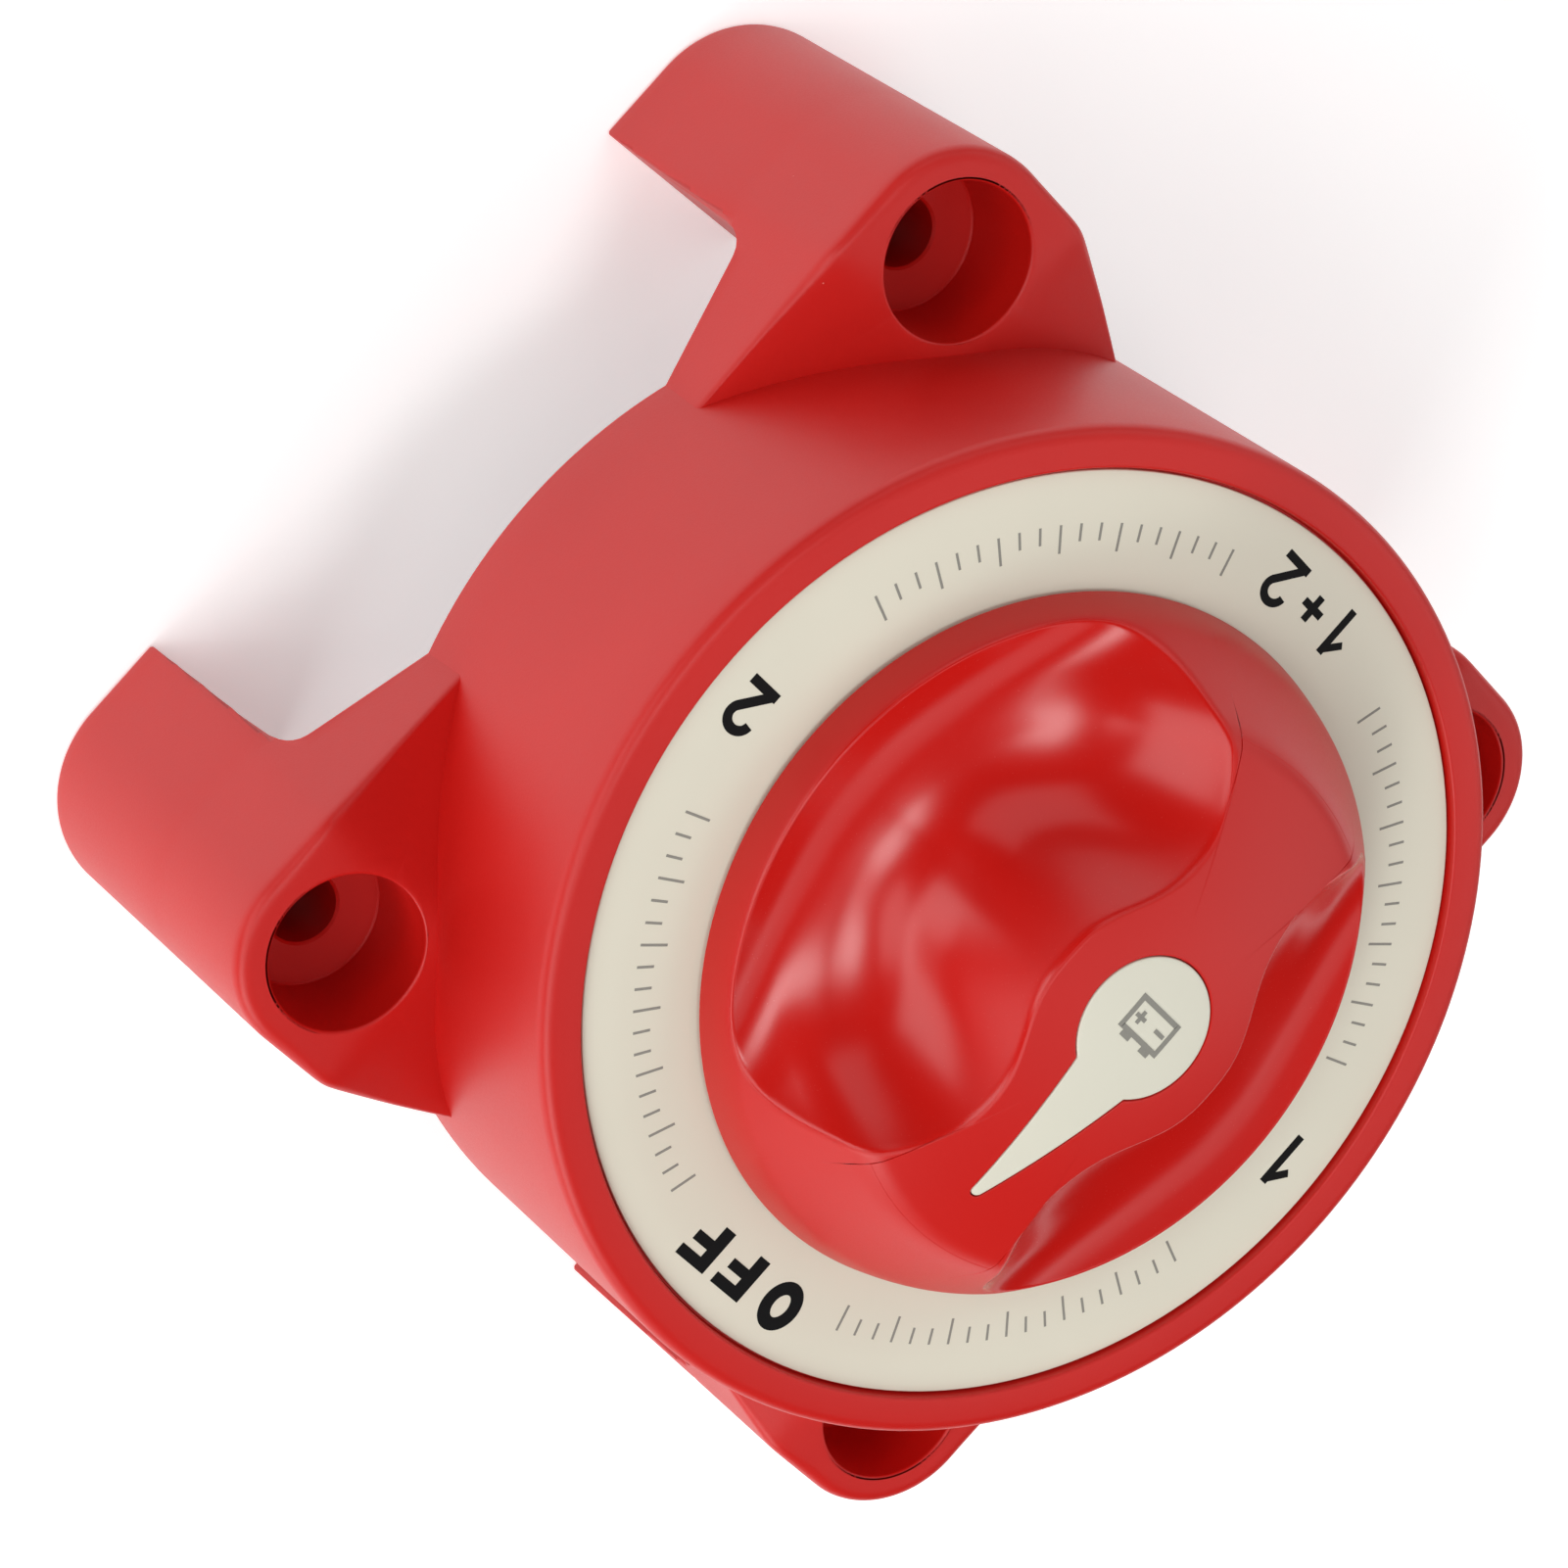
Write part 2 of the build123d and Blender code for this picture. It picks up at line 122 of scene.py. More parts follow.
# %% Profile helper
def rounded(corners, setbacks, steps):
    """Rows of points along a polygon with its corners cut to parabolas. A point on a curve
    is (1-t)^2 P + 2t(1-t) C + t^2 Q, where C is the corner and P and Q lie on its two sides,
    each a setback away, or just short of half way along a side that is too short."""
    corners = np.asarray(corners, float)
    reach = np.asarray(setbacks, float)[:, None]
    ends = []
    for neighbour in (1, -1):
        side = np.roll(corners, neighbour, axis=0) - corners
        length = np.linalg.norm(side, axis=-1, keepdims=True) + 1e-9
        ends.append(corners + side / length * np.minimum(reach, 0.49 * length))
    t = np.linspace(0, 1, steps + 1)[None, :, None]
    start, corner, end = ends[0][:, None], corners[:, None], ends[1][:, None]
    curve = (1 - t)**2 * start + 2 * t * (1 - t) * corner + t**2 * end
    return curve.reshape(-1, 2)


def subdivided(rows, longest):
    """Extra rows on the straights, so that no step is longer than longest."""
    pieces = []
    for here, there in zip(rows, np.roll(rows, -1, axis=0)):
        count = max(1, int(np.ceil(np.hypot(*(there - here)) / longest)))
        t = np.arange(count)[:, None] / count
        pieces.append(here * (1 - t) + there * t)
    return np.concatenate(pieces)


def lathe(profile, columns, x, y):
    """Ring grid about a vertical axis: radius and height of each row, turned once round."""
    angle = np.linspace(0, 2 * np.pi, columns, endpoint=False)
    radius, height = profile[:, :1], profile[:, 1:]
    return np.stack([
        x + radius * np.cos(angle), y + radius * np.sin(angle), height + 0 * angle
    ], axis=-1)


# %% [markdown]
# ## The round body
# The body is a thick cup, open below, with the dial lying in a shallow recess on top. On the
# real object it is one injection moulding, so its wall leans in by about a degree towards the
# top, and its rim is rounded where a hand meets it. One closed profile is turned about the
# axis, so the inside of the cup is there too.

# %% Body shell
RIM_Z, RECESS_Z, ROOF_Z = 78.9, 77.2, 73.8     # top of the rim, the dial's seat, inner roof
BUSH_FOOT, WALL_FOOT, STEP_Z = 67.1, 35.5, 45.0
SHAFT_R, BUSH_R = 9.0, 14.0
LONGEST_STEP = 6.0
BODY_PROFILE = [                               # radius, height, setback of each corner
    (60.6, WALL_FOOT, 0.5), (59.5, RIM_Z, 1.7), (54.95, RIM_Z, 0.35), (54.8, RECESS_Z, 0.1),
    (SHAFT_R, RECESS_Z, 0.1), (SHAFT_R, BUSH_FOOT, 0.1), (BUSH_R, BUSH_FOOT, 0.3),
    (BUSH_R, ROOF_Z, 0.8), (55.0, ROOF_Z, 1.2), (55.0, STEP_Z, 0.2), (57.4, STEP_Z, 0.2),
    (57.4, WALL_FOOT, 0.4),
]


def ring_solid(profile, columns=96, x=0.0, y=0.0, steps=4):
    """Closed ring from (radius, height, setback) corners. The corners run anticlockwise when
    radius points right and height up, which makes the faces look outwards."""
    rows = rounded([corner[:2] for corner in profile], [corner[2] for corner in profile], steps)
    return grid(lathe(subdivided(rows, LONGEST_STEP), columns, x, y), close_rows=True)


cover_parts = [ring_solid(BODY_PROFILE, columns=224, steps=6)]

# %% [markdown]
# ## A leg with its web
# Each leg is a hollow post round a mounting screw. Seen from above, its outside is a round
# nose about the screw, and two straight sides. Near the body a web joins it, wide at the body
# and narrow at the nose, whose top slopes down to both sides. Every direction about the screw
# axis meets the outline once, so the whole leg is one ring grid: for each direction, the
# distance from the screw axis to each wall, and the height of each edge.

# %% Leg outline
SCREW = 50.0                                # the screw axis stands at (50, 50)
NOSE_R = 14.65                              # the nose about it, at the floor
WALL_AT = 39.6                              # a leg's inner wall from the body's axis, there
WALL_DRAW = 1.8 / 33.5                      # how fast that wall draws in with the height
LEAN = np.radians(6.0)                      # and how far it is turned
DRAFT = np.tan(np.radians(2.0))
TIP = np.array([57.25, 19.7])               # where the web's side meets the body
WEB_TURN = 40.4                             # where that side turns in towards the tip
WEB_END_R = 58.4                            # the web's hidden end, inside the body's wall
FILLET = 3.0
LEG_TOP, WEB_FLOOR, CORE_ROOF = 53.0, 35.6, 36.0
FAR = 99.0                                  # further than any wall
SHARPNESS = 90                              # of the corners where two walls meet


def turned_angle(angle):
    """The angle brought into -180 to 180 degrees."""
    return (angle + np.pi) % (2 * np.pi) - np.pi


def nose_radius(height):
    """The nose gets smaller upwards by the mould's draft."""
    return NOSE_R - height * DRAFT


def nose_term(direction, radius):
    """1 / distance to a round nose over the outer quarter and to its two straight sides."""
    past = np.abs(turned_angle(direction - np.pi / 4)) - np.pi / 4
    return np.cos(np.clip(past, 0, np.pi / 2)) / radius


def side_term(direction, normal, distance):
    """1 / distance to a straight wall, given its normal and how far it is from the axis."""
    return np.maximum(np.cos(direction - normal), 0) / distance


def joined(terms):
    """Distance to the nearest of several walls, with its corners rounded by a power mean."""
    return (sum(term**SHARPNESS for term in terms) + FAR**-SHARPNESS) ** (-1 / SHARPNESS)


def inner_wall(height):
    """Distance from the screw axis to a leg's inner wall. The wall is turned by LEAN about
    its front edge, so it draws in towards the body."""
    edge = SCREW - (WALL_AT - WALL_DRAW * np.minimum(height, CORE_ROOF + 0.5))
    return edge * np.cos(LEAN) - nose_radius(height) * np.sin(LEAN)


def foot_reach(direction, height, inset=0.0):
    """Distance from the screw axis to the leg's outline at a height, less a wall's inset."""
    inner = inner_wall(height) - inset
    walls = [nose_term(direction, nose_radius(height) - inset)]
    walls += [side_term(direction, angle, inner) for angle in (-np.pi / 2 - LEAN, np.pi + LEAN)]
    return joined(walls)


def web_reach(direction, height):
    """Distance to the web's side walls, or to a hidden end inside the body's wall. A side
    runs straight on past the screw, then turns in to its tip on the round body."""
    nose = nose_radius(height)
    mirrored = np.pi / 4 - np.abs(turned_angle(direction - np.pi / 4))
    to_tip = TIP - SCREW
    corner = np.array([nose + 0 * direction, WEB_TURN - SCREW + 0 * direction])
    run = corner - to_tip[:, None]
    normal = np.arctan2(run[1], run[0]) - np.pi / 2
    distance = corner[0] * np.cos(normal) + corner[1] * np.sin(normal)
    outside = joined([nose_term(mirrored, nose), side_term(mirrored, normal, distance)])
    along = SCREW * (np.cos(direction) + np.sin(direction))
    inside = along**2 - (2 * SCREW**2 - WEB_END_R**2)
    body = np.where((along < 0) & (inside > 0), -along - np.sqrt(np.maximum(inside, 0)), FAR)
    return np.minimum(outside, body)


def floor_drop(past):
    """How far the web's floor has dropped at a distance from the leg's wall: a quarter round
    of radius FILLET, from nothing at its edge to the whole radius at the wall."""
    left = np.clip(FILLET - past, 0, FILLET)
    return FILLET - np.sqrt(FILLET**2 - left**2)


ROOF_CREASE, ROOF_FALL = 40.6, 0.42


def leg_roof(x, y):
    """Height of the leg's top: flat about the screw, then falling to both sides past a
    crease, which a logarithm of an exponential keeps soft."""
    fall = [ROOF_FALL * np.log1p(np.exp(ROOF_CREASE - side)) for side in (x, y)]
    return LEG_TOP - fall[0] - fall[1]


# %% Leg surface
def spread(weight, count):
    """count values in 0 to 1, closer together where the weight of 0 to 1 is greater."""
    fine = np.linspace(0, 1, 4001)
    total = np.concatenate([[0], np.cumsum((weight(fine[1:]) + weight(fine[:-1])) / 2)])
    return np.interp(np.linspace(0, 1, count, endpoint=False), total / total[-1], fine)


def leg_directions(count=240):
    """Directions about the screw, closer together at the outline's corners: the legs' front
    edges, the webs' tips and the middle of the body's side."""
    corners = np.radians([-40, 130, -77, 167, 225]) % (2 * np.pi)

    def weight(part):
        apart = np.abs(turned_angle(2 * np.pi * part[:, None] - corners))
        return 1 + 4.0 * np.exp(-(apart / 0.07)**2).sum(1)

    return 2 * np.pi * spread(weight, count)


def bend(start, corner, end, steps):
    """Rows of a parabola from start to end that is drawn towards the corner."""
    t = np.linspace(0, 1, steps + 1).reshape((-1,) + (1,) * np.ndim(start))
    return (1 - t)**2 * start + 2 * t * (1 - t) * corner + t**2 * end


HOLE_R, BORE_R, BORE_FLOOR = 4.15, 9.1, 39.6    # the screw's hole and its counterbore
WALL, TUBE_FOOT_R, TUBE_TOP_R = 2.8, 7.4, 8.2   # the leg's wall, and the tube round the hole


def leg():
    """The rows of one leg: up the hole, out over the counterbore and the top, down the web and
    the foot, in across the wall's edge, up the core, and down the tube round the hole."""
    direction = leg_directions()
    flat = 0 * direction

    def at(reach, height):
        return np.stack([reach + flat, height + flat], axis=-1)

    def roof(reach):
        return leg_roof(SCREW + reach * np.cos(direction), SCREW + reach * np.sin(direction))

    mouth, top = BORE_R + flat, web_reach(direction, LEG_TOP - 1.0 + flat)
    far = np.clip((top - 13.0) / 10.0, 0, 1)
    rim_soft = 1.7 - 0.9 * far
    top_rows = [mouth + (top - rim_soft - mouth) * part for part in (0.12, 0.35, 0.6, 0.82, 1.0)]
    edge_z = roof(top)
    # A web's side lies up to 1 mm inside the leg's, so the leg leans in to meet it.
    foot, web = foot_reach(direction, WEB_FLOOR), web_reach(direction, WEB_FLOOR + flat)
    wall = inner_wall(WEB_FLOOR)
    proud = np.maximum(foot - web, 0)
    foot = foot - proud
    past = wall * (web / foot - 1)
    bottom = WEB_FLOOR - floor_drop(past)
    soft = np.clip(0.4 * (past - 0.5), 0, 0.4)
    side_rows = [edge_z - rim_soft + (bottom + soft + 0.1 - edge_z + rim_soft) * part
                 for part in (0, 0.12, 0.25, 0.4, 0.55, 0.7, 0.85, 1.0)]

    rows = [at(HOLE_R, height) for height in (0.4, 20.0, BORE_FLOOR - 0.3)]
    rows += [at(HOLE_R + 0.3, BORE_FLOOR), at(BORE_R - 0.2, BORE_FLOOR)]
    rows += [at(BORE_R, BORE_FLOOR + 0.2), at(BORE_R, 44.0)]
    mouth_edge = [at(BORE_R, roof(mouth) - 0.45), at(BORE_R, roof(mouth)),
                  at(BORE_R + 0.45, roof(mouth + 0.45))]
    rows += list(bend(*mouth_edge, steps=4))
    rows += [at(reach, roof(reach)) for reach in top_rows]
    low_reach = web_reach(direction, edge_z - rim_soft)
    top_edge = [rows[-1], at(low_reach, edge_z), at(low_reach, edge_z - rim_soft)]
    rows += list(bend(*top_edge, steps=6)[1:])
    rows += [at(web_reach(direction, height), height) for height in side_rows[1:]]
    web_edge = [at(web, bottom + soft + 0.05), at(web, bottom), at(web - soft, bottom)]
    rows += list(bend(*web_edge, steps=3))
    for count, part in enumerate((1, 0.75, 0.5, 0.3, 0.15, 0.05, 0)):
        step_in = np.minimum(past - soft, FILLET) * part
        height = WEB_FLOOR - floor_drop(step_in)
        rows.append(at(foot * (1 + step_in / wall), height - 0.02 * (count + 1)))
    for height in (30.0, 22.0, 14.0, 7.0, 2.0):
        reach = foot_reach(direction, height + flat) - proud * height / WEB_FLOOR
        rows.append(at(reach, height))

    def core_reach(height):
        tube = TUBE_FOOT_R + (TUBE_TOP_R - TUBE_FOOT_R) * height / CORE_ROOF
        return np.maximum(foot_reach(direction, height + flat, inset=WALL), tube + 0.7)

    outer, inner = foot_reach(direction, flat), core_reach(0.0)
    foot_edge = [at(foot_reach(direction, 0.7 + flat), 0.7), at(outer, 0), at(outer - 0.5, 0)]
    rows += list(bend(*foot_edge, steps=3))
    rows += [at(inner + 0.25, 0.0), at(inner, 0.25)]
    rows += [at(core_reach(height), height) for height in (12.0, 24.0, CORE_ROOF - 0.5)]
    rows += [at(core_reach(CORE_ROOF) - 0.5, CORE_ROOF), at(TUBE_TOP_R + 0.4, CORE_ROOF)]
    rows += [at(TUBE_TOP_R, CORE_ROOF - 0.4), at((TUBE_TOP_R + TUBE_FOOT_R) / 2, CORE_ROOF / 2)]
    rows += [at(TUBE_FOOT_R, 0.3), at(TUBE_FOOT_R - 0.3, 0.0), at(HOLE_R + 0.35, 0.0)]
    shell = np.stack(rows[::-1])
    return np.stack([SCREW + shell[..., 0] * np.cos(direction),
                     SCREW + shell[..., 0] * np.sin(direction), shell[..., 1]], axis=-1)


def quarter_turn(points, turns):
    """The points turned about the axis by quarter turns."""
    angle = turns * np.pi / 2
    x, y, z = points[..., 0], points[..., 1], points[..., 2]
    return np.stack([x * np.cos(angle) - y * np.sin(angle),
                     x * np.sin(angle) + y * np.cos(angle), z], axis=-1)


one_leg = leg()
cover_parts += [grid(quarter_turn(one_leg, turns), close_rows=True) for turns in range(4)]
print("leg rows and columns", one_leg.shape[:2])

# %% [markdown]
# Inside the cup, four columns take the screws that hold the base plate. They can't be seen,
# but an opened switch has them, so they are turned as plain rings.

# %% Columns inside the body
COLUMN_FROM_AXIS = 50.5
COLUMN_PROFILE = [(4.6, 44.0, 0.3), (4.5, 74.6, 0.3), (1.9, 74.6, 0.2), (1.9, 44.0, 0.3)]
for turn in range(4):
    angle = np.radians(45 + 90 * turn)
    x, y = COLUMN_FROM_AXIS * np.cos(angle), COLUMN_FROM_AXIS * np.sin(angle)
    cover_parts.append(ring_solid(COLUMN_PROFILE, columns=28, x=x, y=y, steps=2))

cover = new_piece("cover_moulding", cover_parts, smooth_angle=40)
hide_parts("cover")
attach(cover, "housing")

# %% [markdown]
# ## The knob
# Over each azimuth the knob is one closed profile: up through the middle, where the shaft and
# its screw go, out over the crown, down into a finger scoop and up to its rim, then down the
# skirt and back underneath. The crown is part of a big ball, the skirt a steep cone, and a
# scoop is the greatest of four heights: its floor, a gentle outer slope, the steep wall of the
# grip bar, and its two end walls. Rounded minimum and maximum join them, as a toolmaker
# would blend them with a ball cutter.

# %% Heights over the knob
CROWN_Z, DOME_R = 102.3, 85.94              # the crown's top and the radius of its ball
CROWN_EDGE_R = 31.8                         # where the crown meets the skirt
SCOOP_RIM_R, SCOOP_RIM_Z = 40.0, 83.3       # the scoops' outer rim
SKIRT_SLOPE, BAND_SLOPE = 1.573, 3.917      # fall per mm of radius
KNOB_FOOT, FOOT_R = 78.6, 41.2
BAR_CORNER = np.array([10.4, 29.9])         # a scoop's end runs from the bar's edge here
SCOOP_END = np.array([20.6, 34.3])          # to the outer rim here
HUB_X, HUB_Y, HUB_POWER = 6.15, 10.93, 2.71  # how far the hub bulges, its reach, its shape
WAIST_X, FLARE_Y, FLARE_SOFT, FLARE = 7.45, 21.3, 1.6, 0.36  # the bar past the hub
BAR_STEEP, END_STEEP, WALL_EASE = 2.0, 1.7, 26.0    # walls of a scoop
OUTER_SLOPE, SCOOP_FLOOR, SADDLE, SADDLE_Y = 0.27, 80.3, 0.5, 9.0


def crown(r):
    """Height of the ball that forms the knob's crown."""
    return CROWN_Z - DOME_R + np.sqrt(np.maximum(DOME_R**2 - r**2, 0))


def envelope(r):
    """Height of the knob before its scoops are cut: crown, skirt cone and rim band."""
    skirt = SCOOP_RIM_Z + (SCOOP_RIM_R - r) * SKIRT_SLOPE
    band = KNOB_FOOT + (FOOT_R - r) * BAND_SLOPE
    return smooth_min(smooth_min(crown(r), skirt, 1.9), band, 1.9)


def bar_edge(y):
    """Half-width of the grip bar: a bell curve for the hub that bulges in the middle, a
    waist, and a soft bend into ends that flare."""
    y = np.abs(y)
    hub = WAIST_X + HUB_X * np.exp(-(y / HUB_Y)**HUB_POWER)
    return hub + FLARE * FLARE_SOFT * np.log1p(np.exp((y - FLARE_Y) / FLARE_SOFT))


def easing_fall(distance, slope):
    """Fall of a wall that starts at a slope and eases as it goes: an exponential."""
    return WALL_EASE * (1 - np.exp(-slope * distance / WALL_EASE))


def scoop(x, y):
    """Height of the finger scoops' surface at a place; it rises past the knob outside them.
    Two fingertips' hollows lie to both sides of a low saddle."""
    x, y = np.abs(x), np.abs(y)
    r = np.hypot(x, y)
    from_bar = x - bar_edge(y)
    along = SCOOP_END - BAR_CORNER
    inward = np.array([along[1], -along[0]]) / np.hypot(*along)
    from_end = (x - BAR_CORNER[0]) * inward[0] + (y - BAR_CORNER[1]) * inward[1]
    base = smooth_min(crown(r), SCOOP_RIM_Z + (SCOOP_RIM_R - r) * SKIRT_SLOPE, 3.0)
    bar_wall = crown(r) - easing_fall(from_bar, BAR_STEEP)
    end_wall = base - easing_fall(from_end, END_STEEP)
    outer_slope = SCOOP_RIM_Z - OUTER_SLOPE * (SCOOP_RIM_R - r)
    floor = SCOOP_FLOOR + SADDLE * np.exp(-(y / SADDLE_Y)**2)
    bowl = smooth_max(floor, outer_slope, 3.0)
    return smooth_max(bowl, smooth_max(bar_wall, end_wall, 12.0), 10.0)


# %% Where each meridian enters and leaves a scoop
def crossings(azimuth):
    """Radii at which the scoop's surface dips under the envelope and comes back to it.
    Past the scoop's end both are the radius of the crown's edge."""
    r = np.linspace(6, 41, 3501)[:, None]
    below = scoop(r * np.cos(azimuth), r * np.sin(azimuth)) < envelope(r)
    found = below.any(0)
    first = np.where(found, r[below.argmax(0), 0], CROWN_EDGE_R)
    last = np.where(found, r[len(r) - 1 - below[::-1].argmax(0), 0], CROWN_EDGE_R)
    return first, last, found


HEAD_R = 8.2


def pointer_reach(azimuth, grow):
    """Distance from the axis to the pointer's outline: a round head and a long taper to +Y,
    whose tip is round. grow moves the outline outwards."""
    half_root, root_y, tip_y, tip_r = 4.25 + grow, 7.1, 24.4, 0.7 + grow
    lean = np.arctan2(half_root - tip_r, tip_y - root_y)
    away = np.abs(turned_angle(azimuth - np.pi / 2))
    flank = side_term(away, np.pi / 2 - lean, half_root * np.cos(lean) + root_y * np.sin(lean))
    taper = 1 / np.maximum(flank, 1e-6)
    across = tip_y * np.sin(away)
    tip = tip_y * np.cos(away) + np.sqrt(np.maximum(tip_r**2 - across**2, 0))
    taper = np.where(away < np.pi / 2, np.minimum(taper, tip), 0)
    return np.maximum(HEAD_R + grow, taper)


# %% [markdown]
# A column of points is laid along each azimuth, and its rows are shared out by length, so a
# steep wall gets as many rows as a flat one. The rows also gather at the two edges of a scoop,
# which keeps those edges crisp and unbroken all the way round.

# %% Knob surface
def share_out(r0, r1, height, count, edge0, edge1):
    """count rows from radius r0 to r1, evenly spaced along the surface. edge0 and edge1, from
    0 to 1, say how much closer they get at the two ends."""
    t = np.linspace(0, 1, 600)[:, None]
    r = r0 + (r1 - r0) * t
    z = height(r)
    step = np.hypot(np.diff(r, axis=0), np.diff(z, axis=0))
    travelled = np.concatenate([0 * r0[None], np.cumsum(step, axis=0)])
    to_end = travelled[-1] - travelled
    crowd = 1 + 5 * edge0 * np.exp(-(travelled / 0.5)**2) + 5 * edge1 * np.exp(-(to_end / 0.5)**2)
    weighted = np.concatenate([0 * r0[None], np.cumsum(step * crowd[1:] + 1e-7, axis=0)])
    weighted /= weighted[-1]
    wanted = np.linspace(0, 1, count)
    return np.stack([np.interp(wanted, weighted[:, i], r[:, i]) for i in range(r.shape[1])], 1)


def knob_azimuths(count=432):
    """Azimuths, closer together at the corners of the scoops and at the pointer's tip."""
    corners = np.radians([70.5, 109.5, 250.5, 289.5])
    tip = np.array([np.pi / 2])

    def weight(part):
        apart = np.abs(turned_angle(2 * np.pi * part[:, None] - corners))
        near_tip = np.abs(turned_angle(2 * np.pi * part[:, None] - tip))
        return (1 + 3.0 * np.exp(-(apart / 0.03)**2).sum(1) + np.exp(-(apart / 0.15)**2).sum(1)
                + 4 * np.exp(-(near_tip / 0.04)**2).sum(1))

    return 2 * np.pi * spread(weight, count)


GAP, POCKET_DEPTH = 0.15, 1.2               # round the inlay, and how deep its pocket goes
SCREW_R, HEAD_SEAT_R, SEAT_Z = 2.6, 5.2, 90.0
SQUARE, SQUARE_FOOT, COLLAR_R = 4.2, 79.1, 6.1


def knob_skin():
    """Rows of the knob, and 1 where it is polished: inside the scoops. The rows run up the
    screw's pocket, over the inlay's pocket, crown, scoop and skirt, then back underneath and
    up the spindle's square, whose reach is its half-width over the greater of |cos| and
    |sin|."""
    azimuth = knob_azimuths()
    flat = 0 * azimuth
    first, last, found = crossings(azimuth)

    def height(r):
        cut = scoop(r * np.cos(azimuth), r * np.sin(azimuth))
        return np.where(found, smooth_min(envelope(r), cut, 0.9), envelope(r))

    pocket = pointer_reach(azimuth, GAP)
    crown_rows = share_out(pocket + 0.18, first, height, 40, 0.6, 1.0)
    scoop_rows = share_out(first, last, height, 84, 1.0, 1.0)[1:]
    skirt_rows = share_out(last, 41.0 + flat, height, 40, 1.0, 0.4)[1:]
    outside = np.concatenate([crown_rows, scoop_rows, skirt_rows])
    square = SQUARE / np.maximum(np.abs(np.cos(azimuth)), np.abs(np.sin(azimuth)))

    def at(r, z):
        return np.stack([r + flat, z + flat], axis=-1)

    lip = HEAD_SEAT_R + 0.2
    floor_z = crown(pocket) - POCKET_DEPTH
    rows = [at(HEAD_SEAT_R, SEAT_Z + 3.0)]
    rows += [at(HEAD_SEAT_R, crown(HEAD_SEAT_R) - POCKET_DEPTH - 0.15)]
    rows += [at(lip, crown(lip) - POCKET_DEPTH)]
    for part in (0.3, 0.6, 0.85):
        r = lip + (pocket - lip) * part
        rows.append(at(r, crown(r) - POCKET_DEPTH))
    rows += [at(pocket, floor_z), at(pocket, floor_z + 0.5), at(pocket, crown(pocket) - 0.18)]
    rows += [at(pocket + 0.05, crown(pocket) - 0.05)]
    first_outside = len(rows)
    rows += [at(r, height(r)) for r in outside]
    rows += [at(FOOT_R - 0.05, KNOB_FOOT + 0.15)]
    rows += [at(r, KNOB_FOOT) for r in (FOOT_R - 0.2, 36.0, 28.0, 18.0, COLLAR_R + 0.3)]
    rows += [at(COLLAR_R, KNOB_FOOT + 0.2), at(COLLAR_R, SQUARE_FOOT)]
    rows += [at(square, SQUARE_FOOT), at(square, SEAT_Z), at(SCREW_R, SEAT_Z)]
    rows += [at(SCREW_R, SEAT_Z + 3.0)]
    shell = np.stack(rows)
    points = np.stack([shell[..., 0] * np.cos(azimuth), shell[..., 0] * np.sin(azimuth),
                       shell[..., 1]], axis=-1)
    inside = (outside > first - 0.05) & (outside < last + 0.02) & found
    polish = np.zeros(points.shape[:2])
    polish[first_outside:first_outside + len(outside)] = inside
    return points[::-1], polish[::-1]


knob_points, knob_polish = knob_skin()
knob = new_piece("knob_moulding", [grid(knob_points, close_rows=True)], smooth_angle=50)
polish = knob.data.attributes.new("polish", "FLOAT", "POINT")
polish.data.foreach_set("value", knob_polish.ravel().astype(np.float32))
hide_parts("knob")
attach(knob, "selector")

# %% [markdown]
# ## The pointer inlay
# A cream moulding, pressed into a pocket of the crown. It is the lid over the knob's screw,
# and it leaves a fine dark line all round. It follows the crown's ball, a hair lower.

# %% Inlay surface
def inlay_top(r):
    """The crown's height, less 0.04 mm."""
    return crown(r) - 0.04


def inlay_skin():
    """Rows from the middle of the underside out to the pointer's outline, up its side and
    back to the middle of the top. Each row is a fraction of the outline, or a little less."""
    azimuth = knob_azimuths(360)
    outline = pointer_reach(azimuth, 0.0)
    rows = [(outline * part, crown(outline * part) - 1.15) for part in (0.03, 0.5, 0.8, 1.0)]
    for inset, drop in ((0.0, 0.6), (0.0, 0.18), (0.02, 0.08), (0.08, 0.02), (0.16, 0.0)):
        rows.append((outline - inset, inlay_top(outline - inset) - drop))
    for part in (0.96, 0.9, 0.8, 0.7, 0.6, 0.5, 0.4, 0.3, 0.2, 0.12, 0.03):
        r = (outline - 0.16) * part
        rows.append((r, inlay_top(r)))
    return np.stack([np.stack([r * np.cos(azimuth), r * np.sin(azimuth), z], axis=-1)
                     for r, z in rows])


# %% [markdown]
# Printed marks are ink, a few hundredths of a millimetre thick. A stroke is a path with a
# width, so one function makes them all: it pushes the path out to both sides, along the
# bisector at a bend, and closes the strip below. A letter is then two or three strokes.

# %% Ink strokes
INK, INK_OVER = 0.03, 0.035     # thickness, and that of a stroke that crosses another


def arc(x, y, radius_x, radius_y, start, stop, count=28):
    """Points on part of an ellipse, its angles in degrees."""
    angle = np.radians(np.linspace(start, stop, count))
    return np.stack([x + radius_x * np.cos(angle), y + radius_y * np.sin(angle)], axis=-1)


def end_faces(rows, columns):
    """The two faces that close a bar whose rows run round it and whose columns run along."""
    first = [row * columns for row in range(rows)]
    return [first, [corner + columns - 1 for corner in first[::-1]]]


def dense(path, step=0.4):
    """The path with points added, so that a long straight line can follow a curved face."""
    path = np.asarray(path, float)
    travelled = np.concatenate([[0], np.cumsum(np.hypot(*np.diff(path, axis=0).T))])
    wanted = np.union1d(travelled, np.arange(0, travelled[-1], step))
    wanted = wanted[np.concatenate([[True], np.diff(wanted) > 0.02])]
    return np.stack([np.interp(wanted, travelled, path[:, axis]) for axis in (0, 1)], -1)


